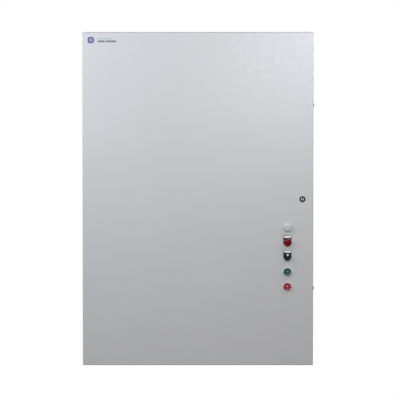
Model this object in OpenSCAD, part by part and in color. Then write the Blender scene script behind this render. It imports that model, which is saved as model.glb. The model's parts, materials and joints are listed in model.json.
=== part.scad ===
// Enclosed variable frequency drive: wall-mounted sheet-steel cabinet with a
// full-size hinged door, three-point quarter-turn latch, five door operators
// and the drive module, line breaker, contactor and control gear inside.
// Frame: +X right, +Y towards the wall, +Z up, millimetres. The back face of
// the cabinet lies on Y = 0 and the origin is the centre of the four wall holes.

/* [Cabinet] */
// Width of the door and the cabinet front
door_w = 800; // [700:10:900]
// Height of the door
door_h = 1155; // [1100:5:1300]
// Depth of the cabinet body behind the door
body_d = 330; // [320:5:420]
// Thickness of the sheet steel
sheet = 2; // [1.5:0.5:2.5]
// Depth of the folded door pan
door_t = 17; // [17:1:20]
// Radius rolled round the front edge of the door
edge_r = 3; // [2:0.5:4]

/* [Wall mounting] */
// Horizontal distance between the wall holes
wall_x = 730; // [600:10:735]
// Vertical distance between the wall holes
wall_z = 1080; // [900:10:1090]
// Radius of a wall hole
wall_r = 5; // [4:0.5:6]

/* [Cable entries] */
// Radius of the line and motor conduit holes
conduit_r = 31.8; // [20:0.1:35]
// Radius of the control conduit hole
control_r = 14.3; // [10:0.1:16]

/* [Door operators] */
// Distance of the operator column from the door centre
op_x = 310; // [250:1:320]
// Height of the top operator above the door centre
op_top = -98; // [-150:0.5:-80]
// Vertical distance between operators
op_pitch = 51.4; // [50:0.1:60]
// Travel of the push buttons
press = 4; // [3:0.5:4]

/* [Latch] */
// Distance of the latch from the door centre
latch_x = 362; // [355:1:364]
// Radius of the circle of the two rod pins
crank_r = 12; // [10:0.5:12]

/* [Hinges] */
// Height of each hinge above and below the door centre
hinge_z = 318; // [250:1:400]

/* [Hidden] */
$fn = 48;
eps = 0.01;
sides = [-1, 1];

// stations along Y, from the wall forward
panel_y = -30;                // front face of the mounting panel
flange_y = -body_d;           // front of the cabinet flange
lip_front = flange_y - 10;    // front edge of the sealing lip
pan_back = flange_y - 3;      // back edge of the door pan
face_y = pan_back - door_t;   // front face of the door
skin_y = face_y + sheet;      // inner face of the door skin

body_w = door_w - 4;          // outside of the cabinet body
body_h = door_h - 4;
lip_x = door_w/2 - 18;        // inner faces of the sealing lip
lip_z = door_h/2 - 18;

// ---------- helpers ----------
module box(a, b) translate(a) cube([b[0]-a[0], b[1]-a[1], b[2]-a[2]]); // corner to corner
module block(x, z, w, h, y0, y1) box([x-w/2, y0, z-h/2], [x+w/2, y1, z+h/2]); // centred in XZ
// round bars along each axis; r is the radius at y0 and r2 at y1
module bar_y(x, z, y0, y1, r, r2 = -1)
  translate([x, y0, z]) rotate([-90, 0, 0]) cylinder(h = y1-y0, r1 = r, r2 = r2 < 0 ? r : r2);
module bar_z(x, y, z0, z1, r) translate([x, y, z0]) cylinder(h = z1-z0, r = r);
module bar_x(y, z, x0, x1, r)
  translate([x0, y, z]) rotate([0, 90, 0]) cylinder(h = x1-x0, r = r);
module hex_y(y0, y1, flats) // hexagonal bar along Y
  translate([0, y0, 0]) rotate([-90, 0, 0]) cylinder(h = y1-y0, r = flats/2/cos(30), $fn = 6);
module round_rect(w, h, r) { // 2D, about the origin
  square([w-2*r, h], center = true);
  square([w, h-2*r], center = true);
  for (x = sides, y = sides) translate([x*(w/2-r), y*(h/2-r)]) circle(r = r);
}
module slot(length, r) { // 2D, along X
  square([length-2*r, 2*r], center = true);
  for (s = sides) translate([s*(length/2-r), 0]) circle(r = r);
}
module slab_y(y0, y1) // 2D outline in XZ, thick along Y
  translate([0, y1, 0]) rotate([90, 0, 0]) linear_extrude(y1-y0) children();
module plate(x, z, w, h, r, y0, y1) slab_y(y0, y1) translate([x, z]) round_rect(w, h, r);
module at_xz(xs, zs) for (x = xs, z = zs) translate([x, 0, z]) children();

// ---------- cabinet ----------
floor_z = -body_h/2;          // underside of the floor
floor_in = floor_z + sheet;
gland_y = -180;               // centre line of the gland plate
gland_z = floor_in + 2.5;     // underside of the gland plate, on its gasket
gland_top = gland_z + 3;
vent_y = -165;                // centre of a group of air slots
vent_z = 440;
side_plug_z = [328, -311.5];
side_plug_y = flange_y + 16;
roof_plug_x = 375;
roof_plug_y = flange_y + 18;

module at_studs() at_xz([-330, 330], [-500, 0, 500]) children();
module gland_slab(w, d, z0, z1) box([-w/2, gland_y-d/2, z0], [w/2, gland_y+d/2, z1]);
module gland_opening(z0, z1) gland_slab(500, 170, z0, z1);
module at_gland_screws()
  for (x = [-265, -90, 90, 265], s = sides) translate([x, gland_y+s*100, 0]) children();
module gland_screw_holes(z0, z1) at_gland_screws() bar_z(0, 0, z0, z1, 3.2);

module cabinet_shell() color([0.80, 0.81, 0.81]) difference() {
  union() {
    difference() {
      plate(0, 0, body_w, body_h, 5, flange_y, 0);
      plate(0, 0, body_w-2*sheet, body_h-2*sheet, 3, flange_y+sheet, -sheet);
      block(0, 0, 2*lip_x, 2*lip_z, flange_y-1, flange_y+sheet+1);
    }
    difference() { // sealing lip
      plate(0, 0, 2*(lip_x+sheet), 2*(lip_z+sheet), 3, lip_front, flange_y+sheet);
      plate(0, 0, 2*lip_x, 2*lip_z, 1.2, lip_front-1, flange_y+sheet+1);
    }
    // shouldered studs on the back wall carry the mounting panel
    at_studs() {
      bar_y(0, 0, -49, -sheet+eps, 4);
      bar_y(0, 0, panel_y+2.6, -sheet+eps, 8);
    }
  }
  at_xz([-wall_x/2, wall_x/2], [-wall_z/2, wall_z/2]) bar_y(0, 0, -sheet-1, 1, wall_r);
  gland_opening(floor_z-1, floor_in+1);
  gland_screw_holes(floor_z-1, floor_in+1);
  // air slots through both side walls, low and high
  for (s = sides) translate([-door_w/2, 0, 0]) rotate([90, 0, 90]) linear_extrude(door_w)
    for (i = [0:9], j = sides) translate([vent_y + j*50, s*vent_z + (i-4.5)*14]) slot(84, 3);
  // plugged holes: two in the right side, one in the roof
  for (z = side_plug_z) bar_x(side_plug_y, z, door_w/2-8, door_w/2+2, 5);
  bar_z(roof_plug_x, roof_plug_y, body_h/2-5, body_h/2+2, 5);
}

module gland_plate() color([0.74, 0.75, 0.75]) difference() {
  gland_slab(560, 224, gland_z, gland_top);
  for (s = sides) bar_z(s*140, gland_y, gland_z-1, gland_top+1, conduit_r);
  bar_z(0, gland_y, gland_z-1, gland_top+1, control_r);
  gland_screw_holes(gland_z-1, gland_top+1);
}
module gland_plate_gasket() color([0.08, 0.08, 0.08]) difference() {
  gland_slab(560, 224, floor_in, gland_z);
  gland_opening(floor_in-1, floor_in+4);
  gland_screw_holes(floor_in-1, floor_in+4);
}
module gland_plate_screws() color([0.7, 0.7, 0.72]) at_gland_screws() {
  bar_z(0, 0, floor_z-1, gland_top+0.5, 3);
  bar_z(0, 0, gland_top, gland_top+1.2, 7);
  translate([0, 0, gland_top+1.2]) cylinder(h = 4, r = 5.77, $fn = 6);
}

// flat panel with its two side edges folded back
panel_w = 700;
panel_h = 1040;
panel_t = 2.5;
module mounting_panel() color([0.72, 0.73, 0.70]) difference() {
  union() {
    block(0, 0, panel_w, panel_h, panel_y, panel_y+panel_t);
    for (s = sides)
      block(s*(panel_w-panel_t)/2, 0, panel_t, panel_h, panel_y, panel_y+14);
  }
  at_studs() bar_y(0, 0, panel_y-1, panel_y+4, 4.5);
}
module panel_nuts() color([0.75, 0.72, 0.6]) at_studs() difference() {
  union() {
    bar_y(0, 0, panel_y-2, panel_y, 9); // washer
    hex_y(panel_y-9, panel_y-2, 13);
  }
  bar_y(0, 0, panel_y-10, panel_y+1, 4.03);
}

// domed plugs closing spare holes; profile columns: radius, height
plug_profile = [
  [0, 0], [8.5, 0], [8.5, 3.2], [8.0, 4.8], [6.8, 6.2], [5.0, 7.3], [2.6, 7.9], [0, 8]
];
module plug() {
  rotate_extrude() polygon(plug_profile);
  translate([0, 0, -4]) cylinder(h = 4.5, r = 4.8);
}
module blanking_plugs() color([0.42, 0.43, 0.44]) {
  for (z = side_plug_z) translate([body_w/2, side_plug_y, z]) rotate([0, 90, 0]) plug();
  translate([roof_plug_x, roof_plug_y, body_h/2]) plug();
}

// grid frame and filter mat behind each group of air slots
module vent_filters() color([0.25, 0.25, 0.26]) for (s = sides, t = sides)
  translate([s*(body_w/2 - sheet), vent_y, t*vent_z]) {
    translate([-s*3, 0, 0]) difference() {
      cube([6, 206, 160], center = true);
      for (j = [-2:2], k = [0:3])
        translate([0, j*40, (k-1.5)*36]) cube([8, 32, 30], center = true);
    }
    translate([-s*1.5, 0, 0]) cube([2, 194, 150], center = true);
  }

// ---------- hinges ----------
hinge_x = -door_w/2 + 5;      // hinge axis
hinge_y = flange_y - 8;
module at_hinges() for (s = sides) translate([hinge_x, 0, s*hinge_z]) children();

module hinge_body_leaves() color([0.62, 0.63, 0.64]) at_hinges() difference() {
  union() {
    bar_z(0, hinge_y, -12, 12, 3.4);
    block(0, 0, 4.8, 24, hinge_y, flange_y);
    box([-2.4, flange_y-3, -12], [9.8, flange_y, 12]);
  }
  bar_z(0, hinge_y, -13, 13, 2.05);
}
module hinge_pins() color([0.75, 0.75, 0.77]) at_hinges() {
  bar_z(0, hinge_y, -31, 31, 2);
  bar_z(0, hinge_y, 31, 32.5, 2.8);
}
module hinge_door_leaves() color([0.62, 0.63, 0.64]) at_hinges() difference() {
  union() {
    for (z = [-30.5, 12.5]) { // knuckles below and above the body leaf
      bar_z(0, hinge_y, z, z+18, 2.9);
      box([-2.4, skin_y+2, z], [2.4, hinge_y, z+18]);
    }
    box([-2.4, skin_y, -36], [5.5, skin_y+3, 36]);
  }
  bar_z(0, hinge_y, -40, 40, 2.05);
}

// ---------- panel gear ----------
earth_x = -170;
earth_z = -492.5;
module earth_bar() color([0.80, 0.50, 0.28]) difference() {
  union() {
    block(earth_x, earth_z, 260, 25, -62, -56);
    for (s = sides) block(earth_x+s*115, earth_z, 16, 25, -57, panel_y);
  }
  for (i = [0:9]) bar_y(earth_x + (i-4.5)*20, earth_z, -64, -55, 3);
}

// 35 mm top-hat rails along X; profile columns: Y from the panel, Z
rail_high = 90;
rail_low = -300;
rail_clip = -7.6;             // back of the rail-mounted gear, from the panel
rail_profile = [
  [0, -12.5], [0, 12.5], [-6.5, 12.5], [-6.5, 17.5], [-7.5, 17.5], [-7.5, 11.5],
  [-1, 11.5], [-1, -11.5], [-7.5, -11.5], [-7.5, -17.5], [-6.5, -17.5], [-6.5, -12.5]
];
module din_rail(x0, x1, z)
  translate([x0, panel_y, z]) rotate([90, 0, 90]) linear_extrude(x1-x0) polygon(rail_profile);
module din_rails() color([0.76, 0.76, 0.74]) {
  din_rail(70, 340, rail_high);
  din_rail(-20, 340, rail_low);
}

// wiring ducts, open at their ends and slotted along both sides
duct_y = panel_y - 60;
module upright_duct(x0, x1, z0, z1) difference() {
  box([x0, duct_y, z0], [x1, panel_y, z1]);
  box([x0+2, duct_y+2, z0-1], [x1-2, panel_y-2, z1+1]);
  for (z = [z0+10:10:z1-8]) box([x0-1, duct_y+4, z], [x1+1, panel_y-16, z+4.5]);
}
module level_duct(x0, x1, z0, z1) difference() {
  box([x0, duct_y, z0], [x1, panel_y, z1]);
  box([x0-1, duct_y+2, z0+2], [x1+1, panel_y-2, z1-2]);
  for (x = [x0+10:10:x1-8]) box([x, duct_y+4, z0-1], [x+4.5, panel_y-16, z1+1]);
}
module wire_ducts() color([0.62, 0.64, 0.66]) {
  upright_duct(12, 52, -182, 505);
  level_duct(12, 342, -226, -186);
  level_duct(56, 342, 186, 226);
}

// ---------- drive module ----------
drive_l = -316;               // outline of the drive
drive_r = -12;
drive_bot = -90;
drive_top = 490;
drive_x = (drive_l + drive_r)/2;
drive_w = drive_r - drive_l;
sink_y = panel_y - 92;        // front of the heatsink, back of the chassis
chassis_in = sink_y - 2.5;    // inner face of the chassis back
cover_y = panel_y - 236;      // front of the cover
vent_mid_y = (cover_y + sink_y)/2 + 18;
pole_x = [for (i = [0:5]) drive_l + 42 + i*44]; // power terminals and floor holes

// box across the drive, set in by the same amount left and right
module drive_box(inset, y0, y1, z0, z1)
  box([drive_l+inset, y0, z0], [drive_r-inset, y1, z1]);

module drive_heatsink() color([0.78, 0.79, 0.80]) {
  z0 = drive_bot+20;
  z1 = drive_top-60;
  drive_box(12, sink_y, sink_y+14, z0, z1);
  for (i = [0:23]) { // fins
    x = drive_l+16 + i*11.6;
    box([x, sink_y+13.9, z0], [x+2.4, panel_y-6, z1]);
  }
  for (x = [drive_l, drive_r-12.1]) difference() { // mounting strips
    box([x, panel_y-6, drive_bot], [x+12.1, panel_y, drive_top]);
    for (z = [drive_bot+16, drive_top-16]) bar_y(x+6, z, panel_y-7, panel_y+1, 3.2);
  }
  // back and side sheets
  drive_box(12, panel_y-6, panel_y-4.5, drive_bot+4, drive_top-4);
  for (x = [drive_l+12, drive_r-14]) box([x, sink_y+13, z0], [x+2, panel_y-5, z1]);
}

module drive_chassis() color([0.30, 0.31, 0.33]) difference() {
  drive_box(4, cover_y+40, sink_y, drive_bot, drive_top);
  drive_box(6.5, cover_y+38, chassis_in, drive_bot+2.5, drive_top-2.5);
  for (x = [drive_l+5, drive_r-5], i = [0:11])
    translate([x, vent_mid_y, drive_bot+150+i*26]) cube([6, 70, 8], center = true);
  for (i = [0:16])
    translate([drive_l+32+i*15, vent_mid_y, drive_top-1]) cube([8, 70, 6], center = true);
  // cable holes in the floor
  for (x = pole_x) bar_z(x, sink_y-45, drive_bot-1, drive_bot+4, 15);
}

module igbt_modules() color([0.16, 0.16, 0.17]) for (i = sides_and_mid) {
  x = drive_x+i*94;
  block(x, 113, 62, 106, sink_y-18, chassis_in);
  for (j = sides_and_mid) block(x+j*18, 154, 12, 16, sink_y-22, sink_y-17.9);
}
sides_and_mid = [-1, 0, 1];

// two rows of four capacitors, terminals cap_term_x either side of the axis
cap_term_x = 11;
module at_capacitors()
  for (i = [0:3], j = [0:1]) translate([drive_l+50+i*68, 0, 270+j*92]) children();
module dc_link_capacitors() color([0.16, 0.22, 0.42]) at_capacitors() {
  translate([0, chassis_in, 0]) rotate([90, 0, 0]) difference() {
    union() {
      cylinder(h = 78, r = 30);
      cylinder(h = 4, r = 31.5);
    }
    translate([0, 0, 76.5]) cylinder(h = 3, r = 26);
  }
  for (s = sides) bar_y(s*cap_term_x, 0, sink_y-84, sink_y-78.5, 5);
}

// pair of bus plates: each picks up one terminal of every capacitor
module dc_bus_bars() color([0.82, 0.50, 0.26]) for (p = [0, 1]) {
  y0 = sink_y-86-p*4; // the second plate lies 2 mm in front of the first
  tab_x = p == 0 ? drive_l+36 : drive_r-66;
  difference() {
    union() {
      drive_box(18, y0, y0+2, 240, 392);
      box([tab_x, y0, 190], [tab_x+30, y0+2, 241]);
      if (p == 1) at_capacitors() bar_y(cap_term_x, 0, y0+1.9, sink_y-84, 4.5);
    }
    at_capacitors() {
      if (p == 0) bar_y(cap_term_x, 0, y0-1, y0+3, 6.5);
      bar_y(-cap_term_x, 0, y0-1, y0+3, p == 0 ? 2.6 : 8);
      bar_y(cap_term_x, 0, y0-1, y0+8, 2.6);
    }
  }
}

module control_board() color([0.05, 0.33, 0.17]) {
  y0 = cover_y+46;   // front of the board
  back = y0+0.1;     // parts on the board sink in this far
  drive_box(26, y0, y0+1.8, -20, 186);
  at_xz([drive_l+34, drive_r-34], [-12, 178]) bar_y(0, 0, y0+1.7, chassis_in, 4);
  for (i = [0:3]) block(drive_l+64+i*52, 104, 28, 28, y0-3, back);
  for (i = [0:1]) block(drive_l+93+i*112, -8, 94, 16, y0-12, back);
  for (i = [0:4]) bar_y(drive_l+60+i*44, 150, y0-14, back, 8);
}

// front cover: shell with a raised centre panel and a keypad bay
cover_z = 270;
keypad_z = 330;
module drive_front_cover() color([0.36, 0.38, 0.40])
  translate([drive_x, cover_y, cover_z]) difference() {
    union() {
      plate(0, 0, drive_w, 436, 8, 8, 39.8);
      plate(0, 0, drive_w-24, 412, 8, 0, 9);
    }
    plate(0, 0, drive_w-5, 431, 5, 10.5, 60);
    plate(0, 0, drive_w-29, 407, 6, 2.6, 12);
    plate(0, keypad_z-cover_z, 92, 162, 4, -1, 12);
    // cooling slots, then cover screw holes
    for (s = sides, i = [0:9]) translate([s*100, 0, -160+i*13]) cube([60, 30, 5], center = true);
    for (s = sides, t = sides) bar_y(s*(drive_w/2-20), t*202, -1, 12, 2.6);
  }

module drive_terminal_cover() color([0.16, 0.17, 0.18])
  translate([drive_x, cover_y, -20]) difference() {
    plate(0, 0, drive_w, 142, 8, 2, 39.8);
    plate(0, 0, drive_w-5, 137, 5, 4.5, 60);
    for (i = [-4:4]) translate([i*20, 4, -50]) cube([8, 12, 24], center = true);
    for (s = sides) bar_y(s*(drive_w/2-16), 50, 1, 6, 2.6);
  }

display_z = 41;               // above the keypad centre
module at_keypad() translate([drive_x, cover_y, keypad_z]) children();
module keypad_housing() color([0.12, 0.12, 0.13]) at_keypad() difference() {
  union() {
    plate(0, 0, 91, 161, 4, -7, 14);
    plate(0, 0, 80, 150, 8, -10, -6);
  }
  block(0, display_z, 64, 42, -11, -8); // display recess
}
module keypad_overlay() color([0.55, 0.57, 0.60]) at_keypad() {
  plate(0, -30, 68, 78, 5, -10.6, -10);
  for (i = sides_and_mid, j = [0:2]) plate(i*21, -8-j*23, 15, 12, 3, -11.8, -10.5);
  block(0, display_z, 63, 41, -9, -8);
}

// two fans blowing along Z at the top of the heatsink
fan_y = panel_y - 48;
fan_bot = drive_top - 58;
fan_h = 38;
fan_x = [drive_l+82, drive_r-82];
module drive_fan_frames() color([0.07, 0.07, 0.08]) for (x = fan_x)
  translate([x, fan_y, fan_bot]) {
    difference() {
      box([-45, -40, 0], [45, 40, fan_h]);
      bar_z(0, 0, -1, fan_h+1, 38);
    }
    // motor seat and three spokes at the base
    bar_z(0, 0, 0, 4, 17);
    for (a = [0, 120, 240]) rotate([0, 0, a]) translate([15, -2.5, 0]) cube([24, 5, 4]);
    // finger guard over the top: rings and two crossed bars
    translate([0, 0, fan_h+1]) {
      for (r = [14, 22, 30]) rotate_extrude() translate([r, 0]) circle(r = 1, $fn = 16);
      for (a = [45, 135]) rotate([0, 0, a]) translate([-41, -1, -1]) cube([82, 2, 1.6]);
    }
  }
module fan_rotor(x) translate([x, fan_y, fan_bot+5]) {
  cylinder(h = 27, r = 16);
  for (i = [0:6]) rotate([0, 0, i*360/7])
    translate([15, 0, 13.5]) rotate([38, 0, 0]) translate([0, -14, -1]) cube([20.5, 28, 2]);
}
module drive_fan_rotor_left() color([0.10, 0.10, 0.11]) fan_rotor(fan_x[0]);
module drive_fan_rotor_right() color([0.10, 0.10, 0.11]) fan_rotor(fan_x[1]);

module power_terminals() color([0.14, 0.14, 0.15]) for (x = pole_x)
  translate([x, sink_y, -58]) {
    difference() {
      block(0, 6, 36, 40, -52, -2.5);
      block(0, -0.5, 26, 29, -54, -22);
    }
    block(0, 0, 22, 24, -26, -21.9); // clamp plate and screw
    bar_y(0, 0, -36, -25.9, 7);
  }

// ---------- breaker, contactor, reactor, transformer ----------
// each is drawn about its own centre, with Y = 0 on the mounting panel
module on_panel(x, z) translate([x, panel_y, z]) children();

breaker_x = 140;
breaker_z = 360;
module line_breaker() color([0.10, 0.10, 0.11]) on_panel(breaker_x, breaker_z) difference() {
  union() {
    block(0, 0, 104, 164, -68, 0);
    block(0, 0, 100, 92, -80, -67.9);
    block(0, 0, 68, 56, -90, -79.9);
  }
  block(0, 0, 18, 44, -92, -44); // toggle slot
  // terminal pockets and screw holes for three poles at each end
  at_xz([-34, 0, 34], [-72, 72]) {
    block(0, 0, 24, 22, -58, -22);
    bar_y(0, 0, -69, -57, 6);
  }
}
module breaker_toggle() color([0.88, 0.88, 0.86]) translate([breaker_x, panel_y-62, breaker_z]) {
  rotate([0, 90, 0]) translate([0, 0, -8]) cylinder(h = 16, r = 12);
  rotate([28, 0, 0]) {
    translate([-6.5, -44, -5]) cube([13, 36, 10]);
    translate([-6.5, -46, -6]) cube([13, 6, 12]);
  }
}

contactor_x = 268;
contactor_z = 360;
module contactor_housing() color([0.22, 0.23, 0.25])
  on_panel(contactor_x, contactor_z) difference() {
    union() {
      block(0, 0, 110, 150, -60, 0);
      block(0, 0, 100, 104, -118, -59.9);
    }
    block(0, 0, 44, 32, -120, -80);
    at_xz([-36, 0, 36], [-66, 66]) block(0, 0, 24, 20, -62, -26);
  }
module contactor_armature() color([0.80, 0.80, 0.78]) on_panel(contactor_x, contactor_z) {
  block(0, 0, 42, 30, -121, -88);
  for (i = sides_and_mid) block(i*13, 0, 8, 24, -123, -120.9);
}

// three-limb line reactor on feet, a coil round each limb
reactor_x = -164;
reactor_z = -365;
limb_pitch = 88;
yoke_z = 78;
foot_x = 112;
module line_reactor_core() color([0.35, 0.35, 0.37]) on_panel(reactor_x, reactor_z) {
  for (s = sides) block(0, s*yoke_z, 240, 34, -96, -26);
  for (i = sides_and_mid) block(i*limb_pitch, 0, 32, 124, -92, -30);
  for (s = sides) translate([0, 0, s*yoke_z]) difference() { // feet
    union() {
      block(0, 0, 240, 32, -26.1, -22);
      for (t = sides) block(t*foot_x, 0, 20, 32, -26, 0);
    }
    for (t = sides) bar_y(t*foot_x, 0, -3, 1, 3.5);
  }
}
module line_reactor_coils() color([0.55, 0.34, 0.16])
  for (i = sides_and_mid) on_panel(reactor_x+i*limb_pitch, reactor_z) difference() {
    plate(0, 0, 82, 112, 2, -106, -16);
    block(0, 0, 34, 140, -93, -29);
    block(0, 0, 100, 6, -107, -104.8); // groove across the front
  }

transformer_x = 120;
transformer_z = -50;
module transformer_core() color([0.38, 0.38, 0.40])
  on_panel(transformer_x, transformer_z) difference() {
    union() {
      block(0, 0, 100, 84, -70, -22);
      block(0, 0, 120, 84, -4, 0);
      for (s = sides) block(s*46, 0, 8, 84, -23, -3.9);
    }
    for (s = sides) block(s*25, 0, 18, 52, -72, -20);
    at_xz([-55, 55], [-34, 34]) bar_y(0, 0, -5, 1, 2.6);
  }
module transformer_coils() color([0.80, 0.66, 0.30])
  on_panel(transformer_x, transformer_z) difference() {
    plate(0, 0, 66, 50, 3, -88, -5);
    block(0, 0, 33, 90, -70.5, -21.5);
  }

// row of fourteen blocks on the lower rail, with an end stop each side
module terminal_blocks() color([0.62, 0.64, 0.62]) {
  for (x = [86.5, 263.1]) on_panel(x, rail_low) difference() {
    block(0, 0, 5, 48, -36, rail_clip);
    bar_y(0, 0, -37, -30, 1.6);
  }
  for (i = [0:13]) on_panel(95.8+i*11.8, rail_low) difference() {
    block(0, 0, 11.6, 54, -52, rail_clip);
    for (s = sides) {
      bar_y(0, s*18, -53, -34, 3.4);
      block(0, s*27.1, 6.8, 8, -46, -38);
    }
  }
}
// on the upper rail: four narrow fuse holders, then five plug-in relays
module control_relays() color([0.20, 0.21, 0.23]) {
  for (i = [0:3]) on_panel(92.8+i*18.4, rail_high) difference() {
    block(0, 0, 17.6, 76, -62, rail_clip);
    for (s = sides) bar_y(0, s*31, -63, -44, 3.2);
    block(0, 0, 9.6, 36, -63, -58);
  }
  for (i = [0:4]) on_panel(181+i*24.4, rail_high) difference() {
    union() {
      block(0, 0, 22, 76, -34, rail_clip);
      block(0, 0, 20, 48, -84, -33.9);
    }
    at_xz([-6, 6], [-31, 31]) bar_y(0, 0, -35, -20, 2.8);
  }
}

// ---------- door ----------
module door_solid() { // pan blank with a rolled front edge
  corner_x = door_w/2-edge_r;
  corner_z = door_h/2-edge_r;
  roll_y = face_y+edge_r;
  block(0, 0, 2*corner_x, 2*corner_z, face_y, pan_back);
  block(0, 0, door_w, 2*corner_z, roll_y, pan_back);
  block(0, 0, 2*corner_x, door_h, roll_y, pan_back);
  at_xz([-corner_x, corner_x], [-corner_z, corner_z]) {
    bar_y(0, 0, roll_y, pan_back, edge_r);
    translate([0, roll_y, 0]) sphere(r = edge_r);
  }
  for (s = sides) {
    bar_z(s*corner_x, roll_y, -corner_z, corner_z, edge_r);
    bar_x(roll_y, s*corner_z, -corner_x, corner_x, edge_r);
  }
}
module door_panel() color([0.84, 0.85, 0.85]) difference() {
  door_solid();
  plate(0, 0, door_w-2*sheet, door_h-2*sheet, 1.2, skin_y, pan_back+1);
  // notches for the hinge blocks in the left return
  for (s = sides) translate([-door_w/2, 0, s*hinge_z])
    box([-1, face_y+7, -14], [sheet+0.5, pan_back+1, 14]);
  bar_y(latch_x, 0, face_y-1, skin_y+1, 8.1);
  for (z = op_z) bar_y(op_x, z, face_y-1, skin_y+1, 11.2);
}
module door_gasket() color([0.06, 0.06, 0.06]) difference() {
  plate(0, 0, 2*lip_x+14, 2*lip_z+14, 6, skin_y, lip_front-0.4);
  plate(0, 0, 2*lip_x-10, 2*lip_z-10, 3, skin_y-1, lip_front+1);
}
// perforated tube stiffeners down both sides of the door
module door_stiffeners() color([0.80, 0.81, 0.81]) for (x = [-330, 250]) difference() {
  block(x, 0, 20, 1000, skin_y, skin_y+14);
  block(x, 0, 17, 1002, skin_y+1.5, skin_y+12.5);
  for (i = [-12:12]) bar_y(x, i*40, skin_y+11, skin_y+15, 3.2);
}
// thin emblem, a rounded tile and three bars; columns: x, z, width, height, radius, thickness
badge_parts = [
  [-370, 549.4, 21.5, 21.5, 7.6, 0.8],
  [-321, 553.9, 50, 2.4, 1, 0.4],
  [-334, 544.9, 24, 6.4, 1.4, 0.4],
  [-300.5, 544.9, 37, 6.4, 1.4, 0.4]
];
module name_badge() color([0.32, 0.36, 0.58])
  for (b = badge_parts) plate(b[0], b[1], b[2], b[3], b[4], face_y-b[5], face_y);

// ---------- latch ----------
rod_back = flange_y + 10.2;   // back and front faces of the latch rods
rod_front = rod_back - 3;
rod_x = 10.8;                 // rod centre line from the latch axis
pin_offset = crank_r*sin(45); // cam pins from the latch axis, along X and Z
rod_end = lip_z - 7.5;        // tip of a rod
rod_shoulder = rod_end - 14;  // where the tip begins
module at_latch() translate([latch_x, 0, 0]) children();

module latch_housing() color([0.12, 0.12, 0.13]) at_latch() {
  difference() {
    union() {
      bar_y(0, 0, face_y-2.4, face_y, 9.2, 10.6);
      bar_y(0, 0, face_y-eps, flange_y+4, 8);
    }
    bar_y(0, 0, face_y-3, flange_y+5, 5.65);
  }
  difference() { // nut behind the door skin
    hex_y(skin_y, skin_y+5, 23);
    bar_y(0, 0, skin_y-1, skin_y+6, 7.99);
  }
}
module latch_insert() color([0.82, 0.82, 0.84]) at_latch() difference() {
  union() {
    bar_y(0, 0, face_y-1.6, flange_y+4.4, 5.6);
    block(0, 0, 5.6, 5.6, flange_y+4.3, flange_y+8);
    bar_y(0, 0, flange_y+7.2, flange_y+9.4, 3.6);
  }
  block(0, 0, 2.4, 9.2, face_y-3, face_y+1.4); // key slot
}
// cam tongue points up; its two pins carry the rods
module latch_cam() color([0.70, 0.68, 0.58]) at_latch() difference() {
  union() {
    bar_y(0, 0, flange_y+4.5, flange_y+7, 15);
    plate(0, 15, 13, 30, 2, flange_y+4.5, flange_y+7);
    for (s = sides) bar_y(s*pin_offset, s*pin_offset, flange_y+6.9, flange_y+10.6, 1.9);
  }
  block(0, 0, 5.7, 5.7, flange_y+4, flange_y+7.05);
}
// s = 1: upper rod, left of the latch; s = -1: lower rod, right of it
module rod(s) at_latch() difference() {
  root = pin_offset+6;
  union() {
    block(-s*rod_x, s*(rod_shoulder-root)/2, 12.8, rod_shoulder+root, rod_front, rod_back);
    // chamfered tip
    slab_y(rod_front, rod_back) translate([-s*rod_x, s*(rod_shoulder-eps)])
      polygon([[-6.4, 0], [6.4, 0], [6.4, s*8], [3, s*14.01], [-3, s*14.01], [-6.4, s*8]]);
  }
  slab_y(rod_front-1, rod_back+1) translate([-s*(pin_offset+crank_r)/2, -s*pin_offset])
    slot(crank_r-pin_offset+5.3, 2.65);
}
module upper_rod() color([0.76, 0.76, 0.72]) rod(1);
module lower_rod() color([0.76, 0.76, 0.72]) rod(-1);
module rod_guides() color([0.13, 0.13, 0.14]) for (s = sides, z = [140, 330, 520])
  translate([latch_x - s*rod_x, 0, s*z]) difference() {
    union() {
      box([-9.4, skin_y, -6], [-6.8, rod_back+3, 6]);
      box([-9.4, rod_front-2.8, -6], [8, rod_back+3, 6]);
      box([-9.4, skin_y, -11], [3.4, skin_y+2, 11]);
    }
    block(0, 0, 13.6, 14, rod_front-0.4, rod_back+0.4);
    for (t = sides) bar_y(-1, t*8.4, skin_y-1, skin_y+3, 1.6);
  }

// ---------- operators ----------
// rows from the top: white light, red light, selector, green button, red button
op_z = [for (i = [0:4]) op_top - i*op_pitch];
legend_t = 2.2;               // thickness of a legend frame
legend_y = face_y - legend_t;
legend_rows = [1, 2];
button_rows = [3, 4];
insert_z = 19.1;              // legend insert above the operator axis
barrel_y = face_y + 14;       // back of the barrels
module at_op(i) translate([op_x, 0, op_z[i]]) children();
function seat_y(i) = i == 1 || i == 2 ? legend_y : face_y;

module operator_bezels() color([0.55, 0.56, 0.57]) {
  // low flanges and barrels of the two pilot lights
  for (i = [0, 1]) at_op(i) difference() {
    y = seat_y(i);
    union() {
      bar_y(0, 0, y-1.6, y, 13.2);
      bar_y(0, 0, y-eps, barrel_y, 11);
    }
    bar_y(0, 0, y-5, barrel_y+1, 9.6);
  }
  // raised ring round the selector knob
  at_op(2) difference() {
    union() {
      bar_y(0, 0, legend_y-2.5, legend_y, 14.2);
      bar_y(0, 0, legend_y-4, legend_y-2.4, 13.5, 14.2);
      bar_y(0, 0, legend_y-eps, barrel_y, 11);
    }
    bar_y(0, 0, legend_y-5, barrel_y+1, 9.6);
    bar_y(0, 0, legend_y-5, legend_y-0.6, 12.4);
  }
}
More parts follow.
